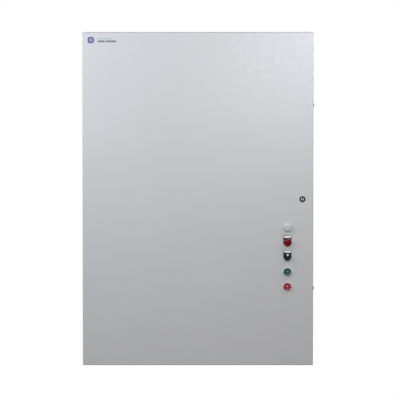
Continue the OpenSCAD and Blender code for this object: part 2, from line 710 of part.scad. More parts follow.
// columns: radius, distance in front of the seat
lens_profile = [
  [0, -8], [9.2, -8], [9.2, 1.7], [13.6, 1.7], [13.9, 2.1], [13.9, 5.2], [13.5, 7.4],
  [12.4, 9.6], [10.4, 11.6], [7.6, 13.0], [4, 13.8], [0, 14]
];
module lens(i) at_op(i)
  translate([0, seat_y(i), 0]) rotate([90, 0, 0]) rotate_extrude() polygon(lens_profile);
module white_lens() color([0.88, 0.89, 0.90]) lens(0);
module red_lens() color([0.65, 0.03, 0.05]) lens(1);

module legend_frames() color([0.06, 0.06, 0.07]) for (i = legend_rows) at_op(i) difference() {
  slab_y(legend_y, face_y) difference() {
    union() {
      circle(r = 13.1);
      translate([0, 9.6]) round_rect(28, 29.2, 1.5);
    }
    circle(r = 11.1);
  }
  block(0, insert_z, 25.6, 7.8, legend_y-1, legend_y+1);
}
module legend_inserts() color([0.93, 0.94, 0.94])
  for (i = legend_rows) at_op(i) block(0, insert_z, 25.2, 7.4, legend_y-0.1, legend_y+1);

module selector_knob() color([0.05, 0.05, 0.06]) at_op(2) {
  bar_y(0, 0, legend_y-6, legend_y-0.7, 12.2);
  bar_y(0, 0, legend_y-0.8, face_y+16, 9.4);
  // grip bar, narrower at its lower end
  translate([0, legend_y-5.9, 0]) rotate([90, 0, 0]) linear_extrude(12) polygon([
    [-2.8, -11.6], [2.8, -11.6], [4.4, -6], [5.2, 4], [4.6, 10.6], [-4.6, 10.6], [-5.2, 4], [-4.4, -6]
  ]);
}
module button_bezels() color([0.60, 0.61, 0.62]) for (i = button_rows) at_op(i) difference() {
  union() {
    bar_y(0, 0, face_y-3.6, face_y, 14.2);
    bar_y(0, 0, face_y-4.8, face_y-3.5, 13.6, 14.2);
    bar_y(0, 0, face_y-eps, barrel_y, 11);
  }
  bar_y(0, 0, face_y-6, face_y-0.2, 13.1);
  bar_y(0, 0, face_y-1, barrel_y-1, 9.6);
  bar_y(0, 0, barrel_y-2, barrel_y+1, 3);
}
// columns: radius, distance in front of the back of the cap
cap_profile = [
  [0, 0], [12.9, 0], [12.9, 2.0], [12.4, 3.2], [11.2, 4.1], [8.6, 5.0], [4.6, 5.6], [0, 5.8]
];
module button(i) at_op(i) {
  // crowned cap, stem in the barrel, plunger through its floor
  translate([0, face_y-0.6-press, 0]) rotate([90, 0, 0]) rotate_extrude() polygon(cap_profile);
  bar_y(0, 0, face_y-4.7, face_y+4, 9.4);
  bar_y(0, 0, face_y+3.9, face_y+17, 2.8);
}
module green_button() color([0.02, 0.36, 0.22]) button(3);
module red_button() color([0.80, 0.08, 0.12]) button(4);

// return springs behind the button stems: four rings joined by three links
spring_r = 6.4;
coil_pitch = 2.5;
module button_springs() color([0.75, 0.75, 0.77]) for (i = button_rows) at_op(i)
  translate([0, face_y+4.8, 0]) {
    for (k = [0:3]) translate([0, k*coil_pitch, 0]) rotate([90, 0, 0])
      rotate_extrude() translate([spring_r, 0]) circle(r = 0.6, $fn = 16);
    for (k = [0:2])
      bar_y(spring_r*cos(k*120), spring_r*sin(k*120), k*coil_pitch, (k+1)*coil_pitch, 0.55);
  }

module operator_lock_rings() color([0.20, 0.20, 0.21]) for (i = [0:4]) at_op(i) difference() {
  union() {
    difference() {
      bar_y(0, 0, skin_y, skin_y+4, 14.2);
      bar_y(0, 0, skin_y-1, skin_y+5, 11.1);
    }
    for (a = [0:30:330]) translate([0, skin_y, 0]) rotate([0, a, 0])
      translate([13.6, 0, -1.6]) cube([1.8, 4, 3.2]);
  }
  bar_y(0, 0, skin_y-1, skin_y+5, 11.05);
}
module contact_blocks() color([0.23, 0.24, 0.26]) for (i = [0:4]) at_op(i) difference() {
  union() {
    plate(0, 0, 32, 42, 3, face_y+12, face_y+20);      // mounting latch
    block(0, 0, 30, 40, face_y+19.9, face_y+48);       // contact or lamp block
  }
  bar_y(0, 0, face_y+11, face_y+14.2, 11.1);
  bar_y(0, 0, face_y+11, face_y+26, 9.8);
  at_xz([-8, 8], [-14, 14]) bar_y(0, 0, face_y+44, face_y+49, 2.8);
}

cabinet_shell();
gland_plate();
gland_plate_gasket();
gland_plate_screws();
mounting_panel();
panel_nuts();
blanking_plugs();
vent_filters();
hinge_body_leaves();
hinge_pins();
earth_bar();
din_rails();
wire_ducts();
drive_heatsink();
drive_chassis();
igbt_modules();
dc_link_capacitors();
dc_bus_bars();
control_board();
drive_front_cover();
drive_terminal_cover();
keypad_housing();
keypad_overlay();
drive_fan_frames();
drive_fan_rotor_left();
drive_fan_rotor_right();
power_terminals();
line_breaker();
breaker_toggle();
contactor_housing();
contactor_armature();
line_reactor_core();
line_reactor_coils();
transformer_core();
transformer_coils();
terminal_blocks();
control_relays();
door_panel();
door_gasket();
door_stiffeners();
hinge_door_leaves();
name_badge();
latch_housing();
latch_insert();
latch_cam();
upper_rod();
lower_rod();
rod_guides();
operator_bezels();
white_lens();
red_lens();
legend_frames();
legend_inserts();
selector_knob();
button_bezels();
green_button();
red_button();
button_springs();
operator_lock_rings();
contact_blocks();
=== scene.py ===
"""A drive cabinet with its door, wiring and door operators.

Metres, +Z up. X runs left to right as seen from the front, and the front faces -Y.
The door's front face lies at y = -0.350 and its hinges are on the left (-X) side.
The CAD pieces are loaded and given materials; finer operators, screws and wires are added.
"""

import json
import math
import random
from functools import cache, cached_property

import bmesh
import bpy
from mathutils import Matrix, Vector


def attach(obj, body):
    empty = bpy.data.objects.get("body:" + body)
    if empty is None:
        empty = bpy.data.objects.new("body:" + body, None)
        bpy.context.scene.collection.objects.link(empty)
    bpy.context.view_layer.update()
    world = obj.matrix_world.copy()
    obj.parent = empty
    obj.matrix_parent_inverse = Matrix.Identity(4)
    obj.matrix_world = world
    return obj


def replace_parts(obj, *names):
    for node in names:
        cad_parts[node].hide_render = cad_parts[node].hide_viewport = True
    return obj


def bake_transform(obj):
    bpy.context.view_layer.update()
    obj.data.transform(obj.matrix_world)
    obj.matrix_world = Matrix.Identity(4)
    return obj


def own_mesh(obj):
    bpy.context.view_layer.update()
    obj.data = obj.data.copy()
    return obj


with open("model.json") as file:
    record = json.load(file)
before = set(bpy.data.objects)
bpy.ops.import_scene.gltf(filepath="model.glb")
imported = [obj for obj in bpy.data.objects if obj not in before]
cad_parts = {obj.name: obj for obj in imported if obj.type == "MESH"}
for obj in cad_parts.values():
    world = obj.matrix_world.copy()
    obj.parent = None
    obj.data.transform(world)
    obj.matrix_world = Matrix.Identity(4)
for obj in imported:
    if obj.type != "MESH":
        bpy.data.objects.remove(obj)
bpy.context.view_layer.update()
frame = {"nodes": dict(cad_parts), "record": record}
parts = frame["nodes"]
random.seed(11)


# ------------------------------------------------------------------ shared dimensions
def row(first, pitch, count):
    return [first + i * pitch for i in range(count)]


FRONT = (0, -1, 0)
BACK = (0, 1, 0)
DOOR_FRONT = -0.350
DOOR_HALF_WIDTH = 0.400
DOOR_HALF_HEIGHT = 0.5775
LATCH_X = 0.362
LEGEND_THICKNESS = 0.0022

# door operators, top to bottom: white lens, red lens, selector, green cap, red cap
OPERATOR_X = 0.310
OPERATOR_Z = row(-0.098, -0.0514, 5)
CONTACT_DX = 0.008  # contact block screws, either side of each operator's centre
CONTACT_DZ = 0.014

# terminals on the mounting panel, left to right
BREAKER_X = row(0.106, 0.034, 3)
CONTACTOR_X = row(0.232, 0.036, 3)
REACTOR_X = row(-0.252, 0.088, 3)
FUSE_X = row(0.0928, 0.0184, 4)
RELAY_X = row(0.181, 0.0244, 5)
RELAY_PIN_DX = 0.006
TERMINAL_X = row(0.0958, 0.0118, 14)
EARTH_X = row(-0.260, 0.020, 10)
EARTH_STRAP_Z = 0.120
LOOM_Z = -0.370  # the door loom's run across the door


# ------------------------------------------------------------------ material tools
MATERIALS = {}
FALL = (1.0, 0.0)  # remap target that is 1 before a span and 0 after it


def srgb(*color):
    """Linear colour from 0-255 sRGB parts."""
    color = [part / 255.0 for part in color]
    return tuple(v / 12.92 if v <= 0.04045 else ((v + 0.055) / 1.055) ** 2.4 for v in color)


def shade(color, factor, lift=0.0):
    return tuple(min(1.0, part * factor + lift) for part in color)


class Nodes:
    """Shorthand for filling a shader node tree."""

    def __init__(self, tree):
        self.tree = tree
        tree.nodes.clear()

    def node(self, kind, **properties):
        node = self.tree.nodes.new(kind)
        for key, value in properties.items():
            setattr(node, key, value)
        return node

    def put(self, socket, value):
        """Link an output to the socket, or set its value; colours come as three parts."""
        if isinstance(value, bpy.types.NodeSocket):
            self.tree.links.new(value, socket)
        else:
            socket.default_value = (*value, 1.0) if socket.type == "RGBA" else value

    def remap(self, value, span, to=(0.0, 1.0), smooth=False):
        kind = "SMOOTHSTEP" if smooth else "LINEAR"
        node = self.node("ShaderNodeMapRange", interpolation_type=kind)
        for i, item in enumerate((value, *span, *to)):
            self.put(node.inputs[i], item)
        return node.outputs[0]


class Look(Nodes):
    """A named Principled material. Its coordinates are object metres."""

    INPUTS = {
        "base": "Base Color", "rough": "Roughness", "metal": "Metallic",
        "coat": "Coat Weight", "coat_rough": "Coat Roughness", "specular": "Specular IOR Level",
        "normal": "Normal", "subsurface": "Subsurface Weight",
        "subsurface_scale": "Subsurface Scale", "sheen": "Sheen Weight",
    }

    def __init__(self, name):
        material = MATERIALS[name] = bpy.data.materials.new(name)
        material.use_nodes = True
        super().__init__(material.node_tree)
        output = self.node("ShaderNodeOutputMaterial")
        self.shader = self.node("ShaderNodeBsdfPrincipled")
        self.put(output.inputs[0], self.shader.outputs[0])
        self.place = self.node("ShaderNodeTexCoord").outputs["Object"]

    def set(self, **inputs):
        for key, value in inputs.items():
            self.put(self.shader.inputs[self.INPUTS[key]], value)

    @cached_property
    def xyz(self):
        node = self.node("ShaderNodeSeparateXYZ")
        self.put(node.inputs[0], self.place)
        return node.outputs

    def math(self, operation, first, second=0.0):
        node = self.node("ShaderNodeMath", operation=operation)
        for i, value in enumerate((first, second, 0.0)):
            self.put(node.inputs[i], value)
        return node.outputs[0]

    def plus(self, first, second):
        return self.math("ADD", first, second)

    def minus(self, first, second):
        return self.math("SUBTRACT", first, second)

    def times(self, first, second):
        return self.math("MULTIPLY", first, second)

    def highest(self, first, second):
        return self.math("MAXIMUM", first, second)

    def away(self, value, centre=0.0):
        """Distance from a centre, along one axis."""
        return self.math("ABSOLUTE", self.plus(value, centre))

    def radius(self, first, second):
        squares = self.plus(self.times(first, first), self.times(second, second))
        return self.math("SQRT", squares)

    def ripple(self, value, period):
        return self.math("SINE", self.times(value, math.tau / period))

    def scaled(self, scale, rotation=(0, 0, 0)):
        node = self.node("ShaderNodeMapping")
        node.inputs["Scale"].default_value = scale
        node.inputs["Rotation"].default_value = rotation
        self.put(node.inputs[0], self.place)
        return node.outputs[0]

    def texture(self, node, output, at=None, **inputs):
        for key, value in inputs.items():
            node.inputs[key].default_value = value
        self.put(node.inputs["Vector"], at or self.place)
        return node.outputs[output]

    def noise(self, scale, detail=3.0, rough=0.5, at=None, distortion=0.0):
        return self.texture(self.node("ShaderNodeTexNoise"), "Fac", at, Scale=scale,
                            Detail=detail, Roughness=rough, Distortion=distortion)

    def voronoi(self, scale, output="Distance"):
        return self.texture(self.node("ShaderNodeTexVoronoi"), output, Scale=scale)

    def wave(self, scale, axis, distortion=0.0, at=None):
        node = self.node("ShaderNodeTexWave", bands_direction=axis)
        return self.texture(node, "Fac", at, Scale=scale, Distortion=distortion)

    def mottle(self, to=(0.0, 1.0), span=(0.3, 0.7), **noise):
        """Noise stretched from span to the wanted range."""
        return self.remap(self.noise(**noise), span, to)

    def streaks(self, stretch):
        return self.noise(scale=3.0, detail=3.0, rough=0.6, at=self.scaled(stretch))

    def mix(self, amount, first, second):
        node = self.node("ShaderNodeMix", data_type="RGBA")
        for i, value in ((0, amount), (6, first), (7, second)):
            self.put(node.inputs[i], value)
        return node.outputs[2]

    def bump(self, height, strength, depth):
        node = self.node("ShaderNodeBump")
        node.inputs["Strength"].default_value = strength
        node.inputs["Distance"].default_value = depth
        self.put(node.inputs["Height"], height)
        return node.outputs[0]

    def edge(self, radius, span=(0.03, 0.5)):
        """0 on flats, 1 on outside and inside edges."""
        bevel = self.node("ShaderNodeBevel", samples=4)
        bevel.inputs["Radius"].default_value = radius
        geometry = self.node("ShaderNodeNewGeometry")
        dot = self.node("ShaderNodeVectorMath", operation="DOT_PRODUCT")
        self.put(dot.inputs[0], bevel.outputs[0])
        self.put(dot.inputs[1], geometry.outputs["Normal"])
        return self.remap(self.minus(1.0, dot.outputs["Value"]), span)


# ------------------------------------------------------------------ families of material
def paint(name, base, rough, peel=1.0, rim_shade=()):
    """Powder coat: faint cloudiness, fine orange peel, dusty along its edges, and painted shade
    over chosen sides of a rolled edge.

    rim_shade lists (axis number, sign, half size, share of painted shade) for each shaded side.
    """
    look = Look(name)
    cloud = look.mottle(scale=3.0, detail=4.0, rough=0.55)
    color = look.mix(cloud, shade(base, 0.982), shade(base, 1.012))
    fine = look.mottle(to=(0.0, 0.10), span=(0.35, 0.65), scale=140.0, detail=2.0)
    color = look.mix(fine, color, shade(base, 0.93))
    dust = look.mottle(to=(0.25, 0.75), span=(0.35, 0.65), scale=22.0, detail=6.0, rough=0.65)
    edge = look.times(look.edge(radius=0.0016, span=(0.02, 0.5)), dust)
    color = look.mix(edge, color, shade(base, 0.86))
    rim = None
    # painted shade near each listed side of the rolled edge, deepest in its last 1.2 mm
    for axis, sign, half, share in rim_shade:
        outward = look.times(look.xyz[axis], sign)
        side = look.remap(outward, (half - 0.0036, half - 0.0012), smooth=True)
        side = look.times(side, share)
        rim = look.highest(rim, side) if rim else side
    if rim:
        color = look.mix(rim, color, shade(base, 0.5))
    peel_height = look.plus(look.noise(scale=520.0, detail=2.0, rough=0.4),
                            look.times(look.noise(scale=1900.0, detail=1.0), 0.35))
    gloss = look.mottle(to=(rough - 0.05, rough + 0.06), scale=60.0, detail=4.0)
    look.set(base=color, rough=look.plus(gloss, look.times(edge, 0.12)),
             normal=look.bump(peel_height, strength=0.22 * peel, depth=0.00012))


def plastic(name, base, rough=0.45, grain=1.0, wear=0.25):
    """Moulded plastic: fine grain, soft colour drift, edges polished by handling."""
    look = Look(name)
    color = look.mix(look.mottle(scale=18.0), shade(base, 0.90), shade(base, 1.07, 0.002))
    edge = look.times(look.edge(radius=0.0007), wear)
    color = look.mix(edge, color, shade(base, 1.7, 0.05))
    gloss = look.mottle(to=(rough - 0.08, rough + 0.08), scale=90.0, detail=5.0, rough=0.6)
    look.set(base=color, rough=look.minus(gloss, look.times(edge, 0.3)),
             coat=0.0, coat_rough=0.12,
             normal=look.bump(look.noise(scale=2600.0, detail=1.0),
                              strength=0.22 * grain, depth=0.00006))


STREAK_STRETCH = {"X": (6, 260, 260), "Y": (260, 6, 260), "Z": (260, 260, 6)}


def plated(name, base, rough, streak="Z", spangle=0.0, metal=0.92, tint=None):
    """Plated steel: drawn streaks or spangle, and darker, rougher handling marks."""
    look = Look(name)
    lines = look.streaks(STREAK_STRETCH[streak])
    blot = look.noise(scale=26.0, detail=5.0, rough=0.6)
    color = look.mix(look.remap(lines, (0.3, 0.7)), shade(base, 0.86), shade(base, 1.08))
    if spangle:
        split = look.node("ShaderNodeSeparateColor")
        look.put(split.inputs[0], look.voronoi(scale=95.0, output="Color"))
        color = look.mix(look.times(split.outputs[0], spangle), color, shade(base, 0.72))
    color = look.mix(look.remap(blot, (0.5, 0.75), (0.0, 0.5)), color, shade(tint or base, 0.72))
    edge = look.times(look.edge(radius=0.0006), 0.4)
    color = look.mix(edge, color, shade(base, 1.25))
    gloss = look.plus(look.remap(lines, (0.3, 0.7), (rough - 0.07, rough + 0.08)),
                      look.remap(blot, (0.45, 0.75), (0.0, 0.16)))
    look.set(base=color, metal=metal, rough=gloss,
             normal=look.bump(lines, strength=0.12, depth=0.00005))


def rubber(name, base, rough, cell):
    """Matt rubber with a cellular surface; cell is the texture scale of its pores."""
    look = Look(name)
    color = look.mix(look.mottle(span=(0.35, 0.7), scale=40.0, detail=4.0),
                     base, shade(base, 1.9, 0.006))
    height = look.plus(look.voronoi(cell), look.times(look.noise(cell * 2.2, detail=2.0), 0.5))
    look.set(base=color, rough=look.mottle(to=(rough - 0.08, rough + 0.08), scale=120.0),
             specular=0.3, normal=look.bump(height, strength=0.35, depth=0.00012))


def diffuser(name, base, painted_rim_shading, centre_z, specular, coat, coat_rough):
    """Moulded lens: glossy skin over fine concentric ribs; its colour turns outwards to a painted
    rim shading, lighter on the white lens and darker on the red.
    """
    look = Look(name)
    x, y, z = look.xyz
    radius = look.radius(look.minus(x, OPERATOR_X), look.minus(z, centre_z))
    ribs = look.ripple(radius, period=0.0011)
    # painted shading from the centre out to the rim
    color = look.mix(look.remap(radius, (0.002, 0.0135), smooth=True), base, painted_rim_shading)
    color = look.mix(look.mottle(to=(0.0, 0.18), span=(0.35, 0.7), scale=120.0),
                     color, shade(painted_rim_shading, 0.8))
    color = look.mix(look.remap(ribs, (-1.0, 1.0), (0.0, 0.10)), color, shade(painted_rim_shading, 0.75))
    look.set(base=color, rough=look.mottle(to=(0.22, 0.32), scale=300.0), specular=specular,
             coat=coat, coat_rough=coat_rough, subsurface=0.12, subsurface_scale=0.004,
             normal=look.bump(ribs, strength=0.10, depth=0.00008))


def button_cap(name, base, crown, centre_z):
    """Glossy moulded cap: a painted highlight on the crown, painted shade on the rim, fine
    scuffs.
    """
    look = Look(name)
    x, y, z = look.xyz
    across = look.minus(x, OPERATOR_X)
    above = look.minus(z, centre_z)
    radius = look.radius(across, above)
    # painted shade on the rim
    rim = look.remap(radius, (0.0112, 0.0124), smooth=True)
    color = look.mix(look.mottle(scale=90.0), shade(base, 0.9), shade(base, 1.08))
    color = look.mix(look.times(rim, 0.35), color, shade(base, 0.4))
    # a painted highlight on the crown, a little above its middle
    lifted = look.minus(above, 0.0010)
    squares = look.plus(look.times(across, across), look.times(look.times(lifted, lifted), 2.0))
    painted_highlight = look.remap(look.math("SQRT", squares), (0.0022, 0.0064), FALL, smooth=True)
    color = look.mix(painted_highlight, color, crown)
    scuff = look.mottle(to=(0.20, 0.34), span=(0.4, 0.75), scale=4.0, detail=4.0, rough=0.7,
                        at=look.scaled((300, 300, 1800), rotation=(0, 0.6, 0)))
    look.set(base=color, rough=scuff, coat=0.4, coat_rough=0.12,
             normal=look.bump(look.noise(scale=2200.0, detail=1.0),
                              strength=0.08, depth=0.00004))


def wire(name, base, rough=0.38, band=None):
    """Cable sheath, with slanting bands of a second colour where band is given."""
    look = Look(name)
    color = look.mix(look.mottle(scale=60.0), shade(base, 0.82), shade(base, 1.12))
    if band:
        x, y, z = look.xyz
        turns = math.tau / 0.022
        slant = look.math("SINE", look.plus(look.times(z, turns), look.times(x, turns)))
        color = look.mix(look.remap(slant, (0.15, 0.3)), color, band)
    look.set(base=color, rough=look.mottle(to=(rough - 0.06, rough + 0.08), scale=150.0),
             normal=look.bump(look.noise(scale=700.0, detail=2.0), strength=0.2, depth=0.00012))


# ------------------------------------------------------------------ single materials
def nickel():
    """Latch insert: turned face with painted shade in its upright keyway slot, and a dark ring.
    """
    look = Look("nickel")
    x, y, z = look.xyz
    across = look.math("ABSOLUTE", look.minus(x, LATCH_X))
    along = look.math("ABSOLUTE", z)
    # painted shade where the keyway slot is
    slot = look.times(look.remap(across, (0.0019, 0.0025), FALL),
                      look.remap(along, (0.0042, 0.0049), FALL))
    ring = look.remap(look.radius(across, along), (0.0046, 0.0052))
    turned = look.streaks((400, 60, 400))
    color = look.mix(look.remap(turned, (0.3, 0.7)), (0.86, 0.85, 0.83), (0.95, 0.94, 0.92))
    dark = look.highest(slot, look.times(ring, 0.9))
    color = look.mix(look.times(dark, 0.93), color, (0.012, 0.012, 0.012))
    look.set(base=color, metal=look.remap(dark, (0.0, 1.0), (0.30, 0.0)),
             rough=look.mottle(to=(0.34, 0.5), scale=300.0, detail=4.0),
             normal=look.bump(turned, strength=0.12, depth=0.00005))


def bezel_painted_dark_tops():
    """Satin nickel; the upper halves of the second and third operators' frames are painted dark
    as shade and dark reflection.
    """
    look = Look("bezel_painted_dark_tops")
    z = look.xyz[2]
    # masks for the upper halves, which get painted shade and dark reflection
    halves = []
    for top, centre in ((-0.1240, OPERATOR_Z[1]), (-0.1760, OPERATOR_Z[2])):
        halves.append(look.times(
            look.remap(z, (top, top + 0.0005), FALL),
            look.remap(z, (centre - 0.004, centre + 0.002), smooth=True)))
    lines = look.streaks(STREAK_STRETCH["Y"])
    wear = look.noise(scale=60.0, detail=4.0, rough=0.6)
    light = look.mix(look.remap(lines, (0.3, 0.7)), (0.54, 0.545, 0.55), (0.67, 0.675, 0.68))
    # the colour of that painted shade, varied by the wear noise
    black = look.mix(look.remap(wear, (0.45, 0.75), (0.0, 0.6)),
                     (0.030, 0.030, 0.032), (0.11, 0.11, 0.115))
    look.set(base=look.mix(look.plus(*halves), light, black), metal=0.35,
             rough=look.remap(wear, (0.3, 0.7), (0.34, 0.5)),
             normal=look.bump(lines, strength=0.12, depth=0.00005))


def copper():
    """Drawn copper with brown oxide and bright edges."""
    look = Look("copper")
    oxide = look.noise(scale=34.0, detail=6.0, rough=0.65, distortion=0.6)
    lines = look.noise(scale=2.0, detail=2.0, rough=0.5, at=look.scaled((8, 200, 300)))
    color = look.mix(look.remap(oxide, (0.42, 0.68)), (0.86, 0.43, 0.26), (0.46, 0.20, 0.12))
    edge = look.edge(radius=0.0006, span=(0.02, 0.35))
    color = look.mix(look.times(edge, 0.5), color, (0.95, 0.60, 0.42))
    gloss = look.plus(look.remap(oxide, (0.4, 0.7), (0.24, 0.46)),
                      look.remap(lines, (0.3, 0.7), (0.0, 0.08)))
    look.set(base=color, metal=0.95, rough=gloss,
             normal=look.bump(lines, strength=0.12, depth=0.00005))


def filter_mat():
    """Two crossed layers of matted fibre."""
    look = Look("filter_mat")
    layers = [look.noise(scale=scale, detail=4.0, rough=0.7, distortion=1.4,
                         at=look.scaled(stretch, rotation))
              for scale, stretch, rotation in ((6.0, (260, 900, 90), (0.3, 0.2, 0.5)),
                                               (5.0, (240, 110, 900), (0.9, 0.1, 1.3)))]
    fibre = look.highest(*layers)
    color = look.mix(look.remap(fibre, (0.45, 0.7)), (0.03, 0.03, 0.032), (0.19, 0.19, 0.20))
    look.set(base=color, rough=0.95, sheen=0.2,
             normal=look.bump(fibre, strength=0.8, depth=0.0004))


def badge():
    """Slate-blue tile at the left, paler inside its rim, beside two tones of grey."""
    look = Look("badge")
    x, y, z = look.xyz
    tile = look.remap(x, (-0.3560, -0.3550), FALL)
    off_x = look.away(x, 0.370)
    off_z = look.math("ABSOLUTE", look.minus(z, 0.5494))
    inner = look.remap(look.highest(off_x, off_z), (0.0050, 0.0068), FALL, smooth=True)
    blue = look.mix(look.times(inner, 0.9), srgb(70, 72, 118), srgb(150, 155, 208))
    upper = look.remap(z, (0.5500, 0.5510))
    grey = look.mix(upper, srgb(122, 125, 134), srgb(168, 173, 188))
    color = look.mix(tile, grey, blue)
    color = look.mix(look.mottle(to=(0.0, 0.14), span=(0.35, 0.7), scale=400.0),
                     color, (0.32, 0.33, 0.38))
    look.set(base=color, rough=look.mottle(to=(0.28, 0.42), scale=200.0), coat=0.25,
             normal=look.bump(look.noise(scale=1400.0, detail=1.0), strength=0.1, depth=0.00004))


def capacitor_sleeve():
    """Blue sleeve with a pale band, and a dark front end."""
    look = Look("capacitor_sleeve")
    y = look.xyz[1]
    front_end = look.remap(y, (-0.2008, -0.2003), FALL)
    sleeve = look.mix(look.mottle(scale=50.0), (0.012, 0.020, 0.075), (0.020, 0.032, 0.110))
    stripe = look.remap(look.away(y, 0.165), (0.010, 0.0105), FALL)
    sleeve = look.mix(look.times(stripe, 0.7), sleeve, (0.42, 0.43, 0.46))
    color = look.mix(front_end, sleeve, (0.05, 0.05, 0.052))
    look.set(base=color, rough=look.mottle(to=(0.22, 0.36), scale=70.0, detail=4.0), coat=0.3,
             normal=look.bump(look.noise(scale=160.0, detail=2.0), strength=0.12, depth=0.0002))


def circuit_board():
    """Green mask over tracks, with pads, and black where it stands forward."""
    look = Look("circuit_board")
    raised = look.remap(look.xyz[1], (-0.2203, -0.2201), FALL)
    mask = look.mix(look.mottle(scale=60.0), (0.006, 0.085, 0.032), (0.010, 0.125, 0.050))
    upright = look.math("GREATER_THAN", look.wave(scale=62.0, axis="X", distortion=3.0), 0.72)
    level = look.math("GREATER_THAN", look.wave(scale=48.0, axis="Z", distortion=3.5), 0.76)
    tracks = look.highest(upright, level)
    mask = look.mix(look.times(tracks, 0.55), mask, (0.018, 0.20, 0.075))
    pads = look.remap(look.voronoi(scale=150.0), (0.14, 0.18), FALL)
    mask = look.mix(look.times(pads, 0.7), mask, (0.55, 0.52, 0.42))
    color = look.mix(raised, mask, (0.020, 0.020, 0.022))
    look.set(base=color, rough=look.mottle(to=(0.24, 0.38), scale=80.0),
             normal=look.bump(tracks, strength=0.2, depth=0.00006))


def keypad_keys():
    """Display glass above, keys below: red at the left and green at the right of the low row."""
    look = Look("keypad_keys")
    x, y, z = look.xyz
    key_grey = (0.30, 0.31, 0.33)
    display = look.remap(z, (0.3400, 0.3402))
    glass = look.mix(look.remap(z, (0.345, 0.392)), (0.018, 0.040, 0.036), (0.028, 0.060, 0.052))
    # segment bars of a blank display
    bars = look.times(look.math("GREATER_THAN", look.wave(scale=9.0, axis="Z"), 0.86),
                      look.math("GREATER_THAN", look.wave(scale=26.0, axis="X"), 0.35))
    glass = look.mix(look.times(bars, 0.25), glass, (0.10, 0.22, 0.18))
    raised = look.remap(y, (-0.2769, -0.2768), FALL)
    body = look.mix(look.mottle(scale=70.0, detail=4.0),
                    (0.060, 0.063, 0.070), (0.085, 0.088, 0.095))
    keys = look.mix(look.remap(x, (-0.1745, -0.1743), FALL), key_grey, (0.36, 0.045, 0.05))
    keys = look.mix(look.remap(x, (-0.1537, -0.1535)), keys, (0.035, 0.22, 0.10))
    keys = look.mix(look.remap(z, (0.2850, 0.2852), FALL), key_grey, keys)
    color = look.mix(display, look.mix(raised, body, keys), glass)
    gloss = look.mix(display, (0.46, 0.46, 0.46), (0.08, 0.08, 0.08))
    look.set(base=color, rough=look.plus(gloss, look.mottle(to=(-0.03, 0.05), scale=150.0)),
             coat=look.times(display, 0.9),
             normal=look.bump(look.noise(scale=1800.0, detail=1.0),
                              strength=0.12, depth=0.00004))


def lamination():
    """Stacked core plates, 1 mm apart, with rusty patches."""
    look = Look("lamination")
    lines = look.ripple(look.xyz[1], period=0.0010)
    dirt = look.noise(scale=45.0, detail=5.0, rough=0.6)
    color = look.mix(look.remap(lines, (-1.0, 1.0)), (0.030, 0.030, 0.033), (0.085, 0.085, 0.090))
    color = look.mix(look.remap(dirt, (0.5, 0.75), (0.0, 0.6)), color, (0.10, 0.050, 0.022))
    look.set(base=color, metal=0.55, rough=look.remap(dirt, (0.3, 0.7), (0.36, 0.60)),
             coat=0.15, normal=look.bump(lines, strength=0.35, depth=0.00015))


def winding():
    """Varnished copper turns with a band of tape."""
    look = Look("winding")
    z = look.xyz[2]
    turns = look.ripple(z, period=0.0042)
    fibre = look.noise(scale=4.0, detail=4.0, rough=0.65, at=look.scaled((500, 500, 60)))
    color = look.mix(look.remap(turns, (-1.0, 1.0)), (0.13, 0.045, 0.016), (0.44, 0.17, 0.06))
    tape = look.remap(look.away(z, 0.365), (0.014, 0.0145), FALL)
    color = look.mix(look.times(tape, 0.9), color, (0.42, 0.36, 0.20))
    color = look.mix(look.remap(fibre, (0.45, 0.75), (0.0, 0.45)), color, (0.09, 0.035, 0.015))
    look.set(base=color, rough=look.remap(fibre, (0.3, 0.7), (0.22, 0.42)),
             coat=0.55, coat_rough=0.12,
             normal=look.bump(turns, strength=0.55, depth=0.0008))


def copper_braid():
    look = Look("copper_braid")
    weave = look.highest(
        look.wave(scale=190.0, axis="DIAGONAL"),
        look.wave(scale=190.0, axis="DIAGONAL", at=look.scaled((-1, 1, 1))))
    color = look.mix(look.remap(weave, (0.2, 0.9)), (0.20, 0.10, 0.07), (0.74, 0.60, 0.50))
    look.set(base=color, metal=0.9, rough=0.36,
             normal=look.bump(weave, strength=0.7, depth=0.0004))


# painted shade over the door's rolled edge, by side: left, right, top, bottom
DOOR_RIM_SHADE = (
    (0, -1.0, DOOR_HALF_WIDTH, 0.06),
    (0, 1.0, DOOR_HALF_WIDTH, 0.36),
    (2, 1.0, DOOR_HALF_HEIGHT, 0.80),
    (2, -1.0, DOOR_HALF_HEIGHT, 0.28),
)


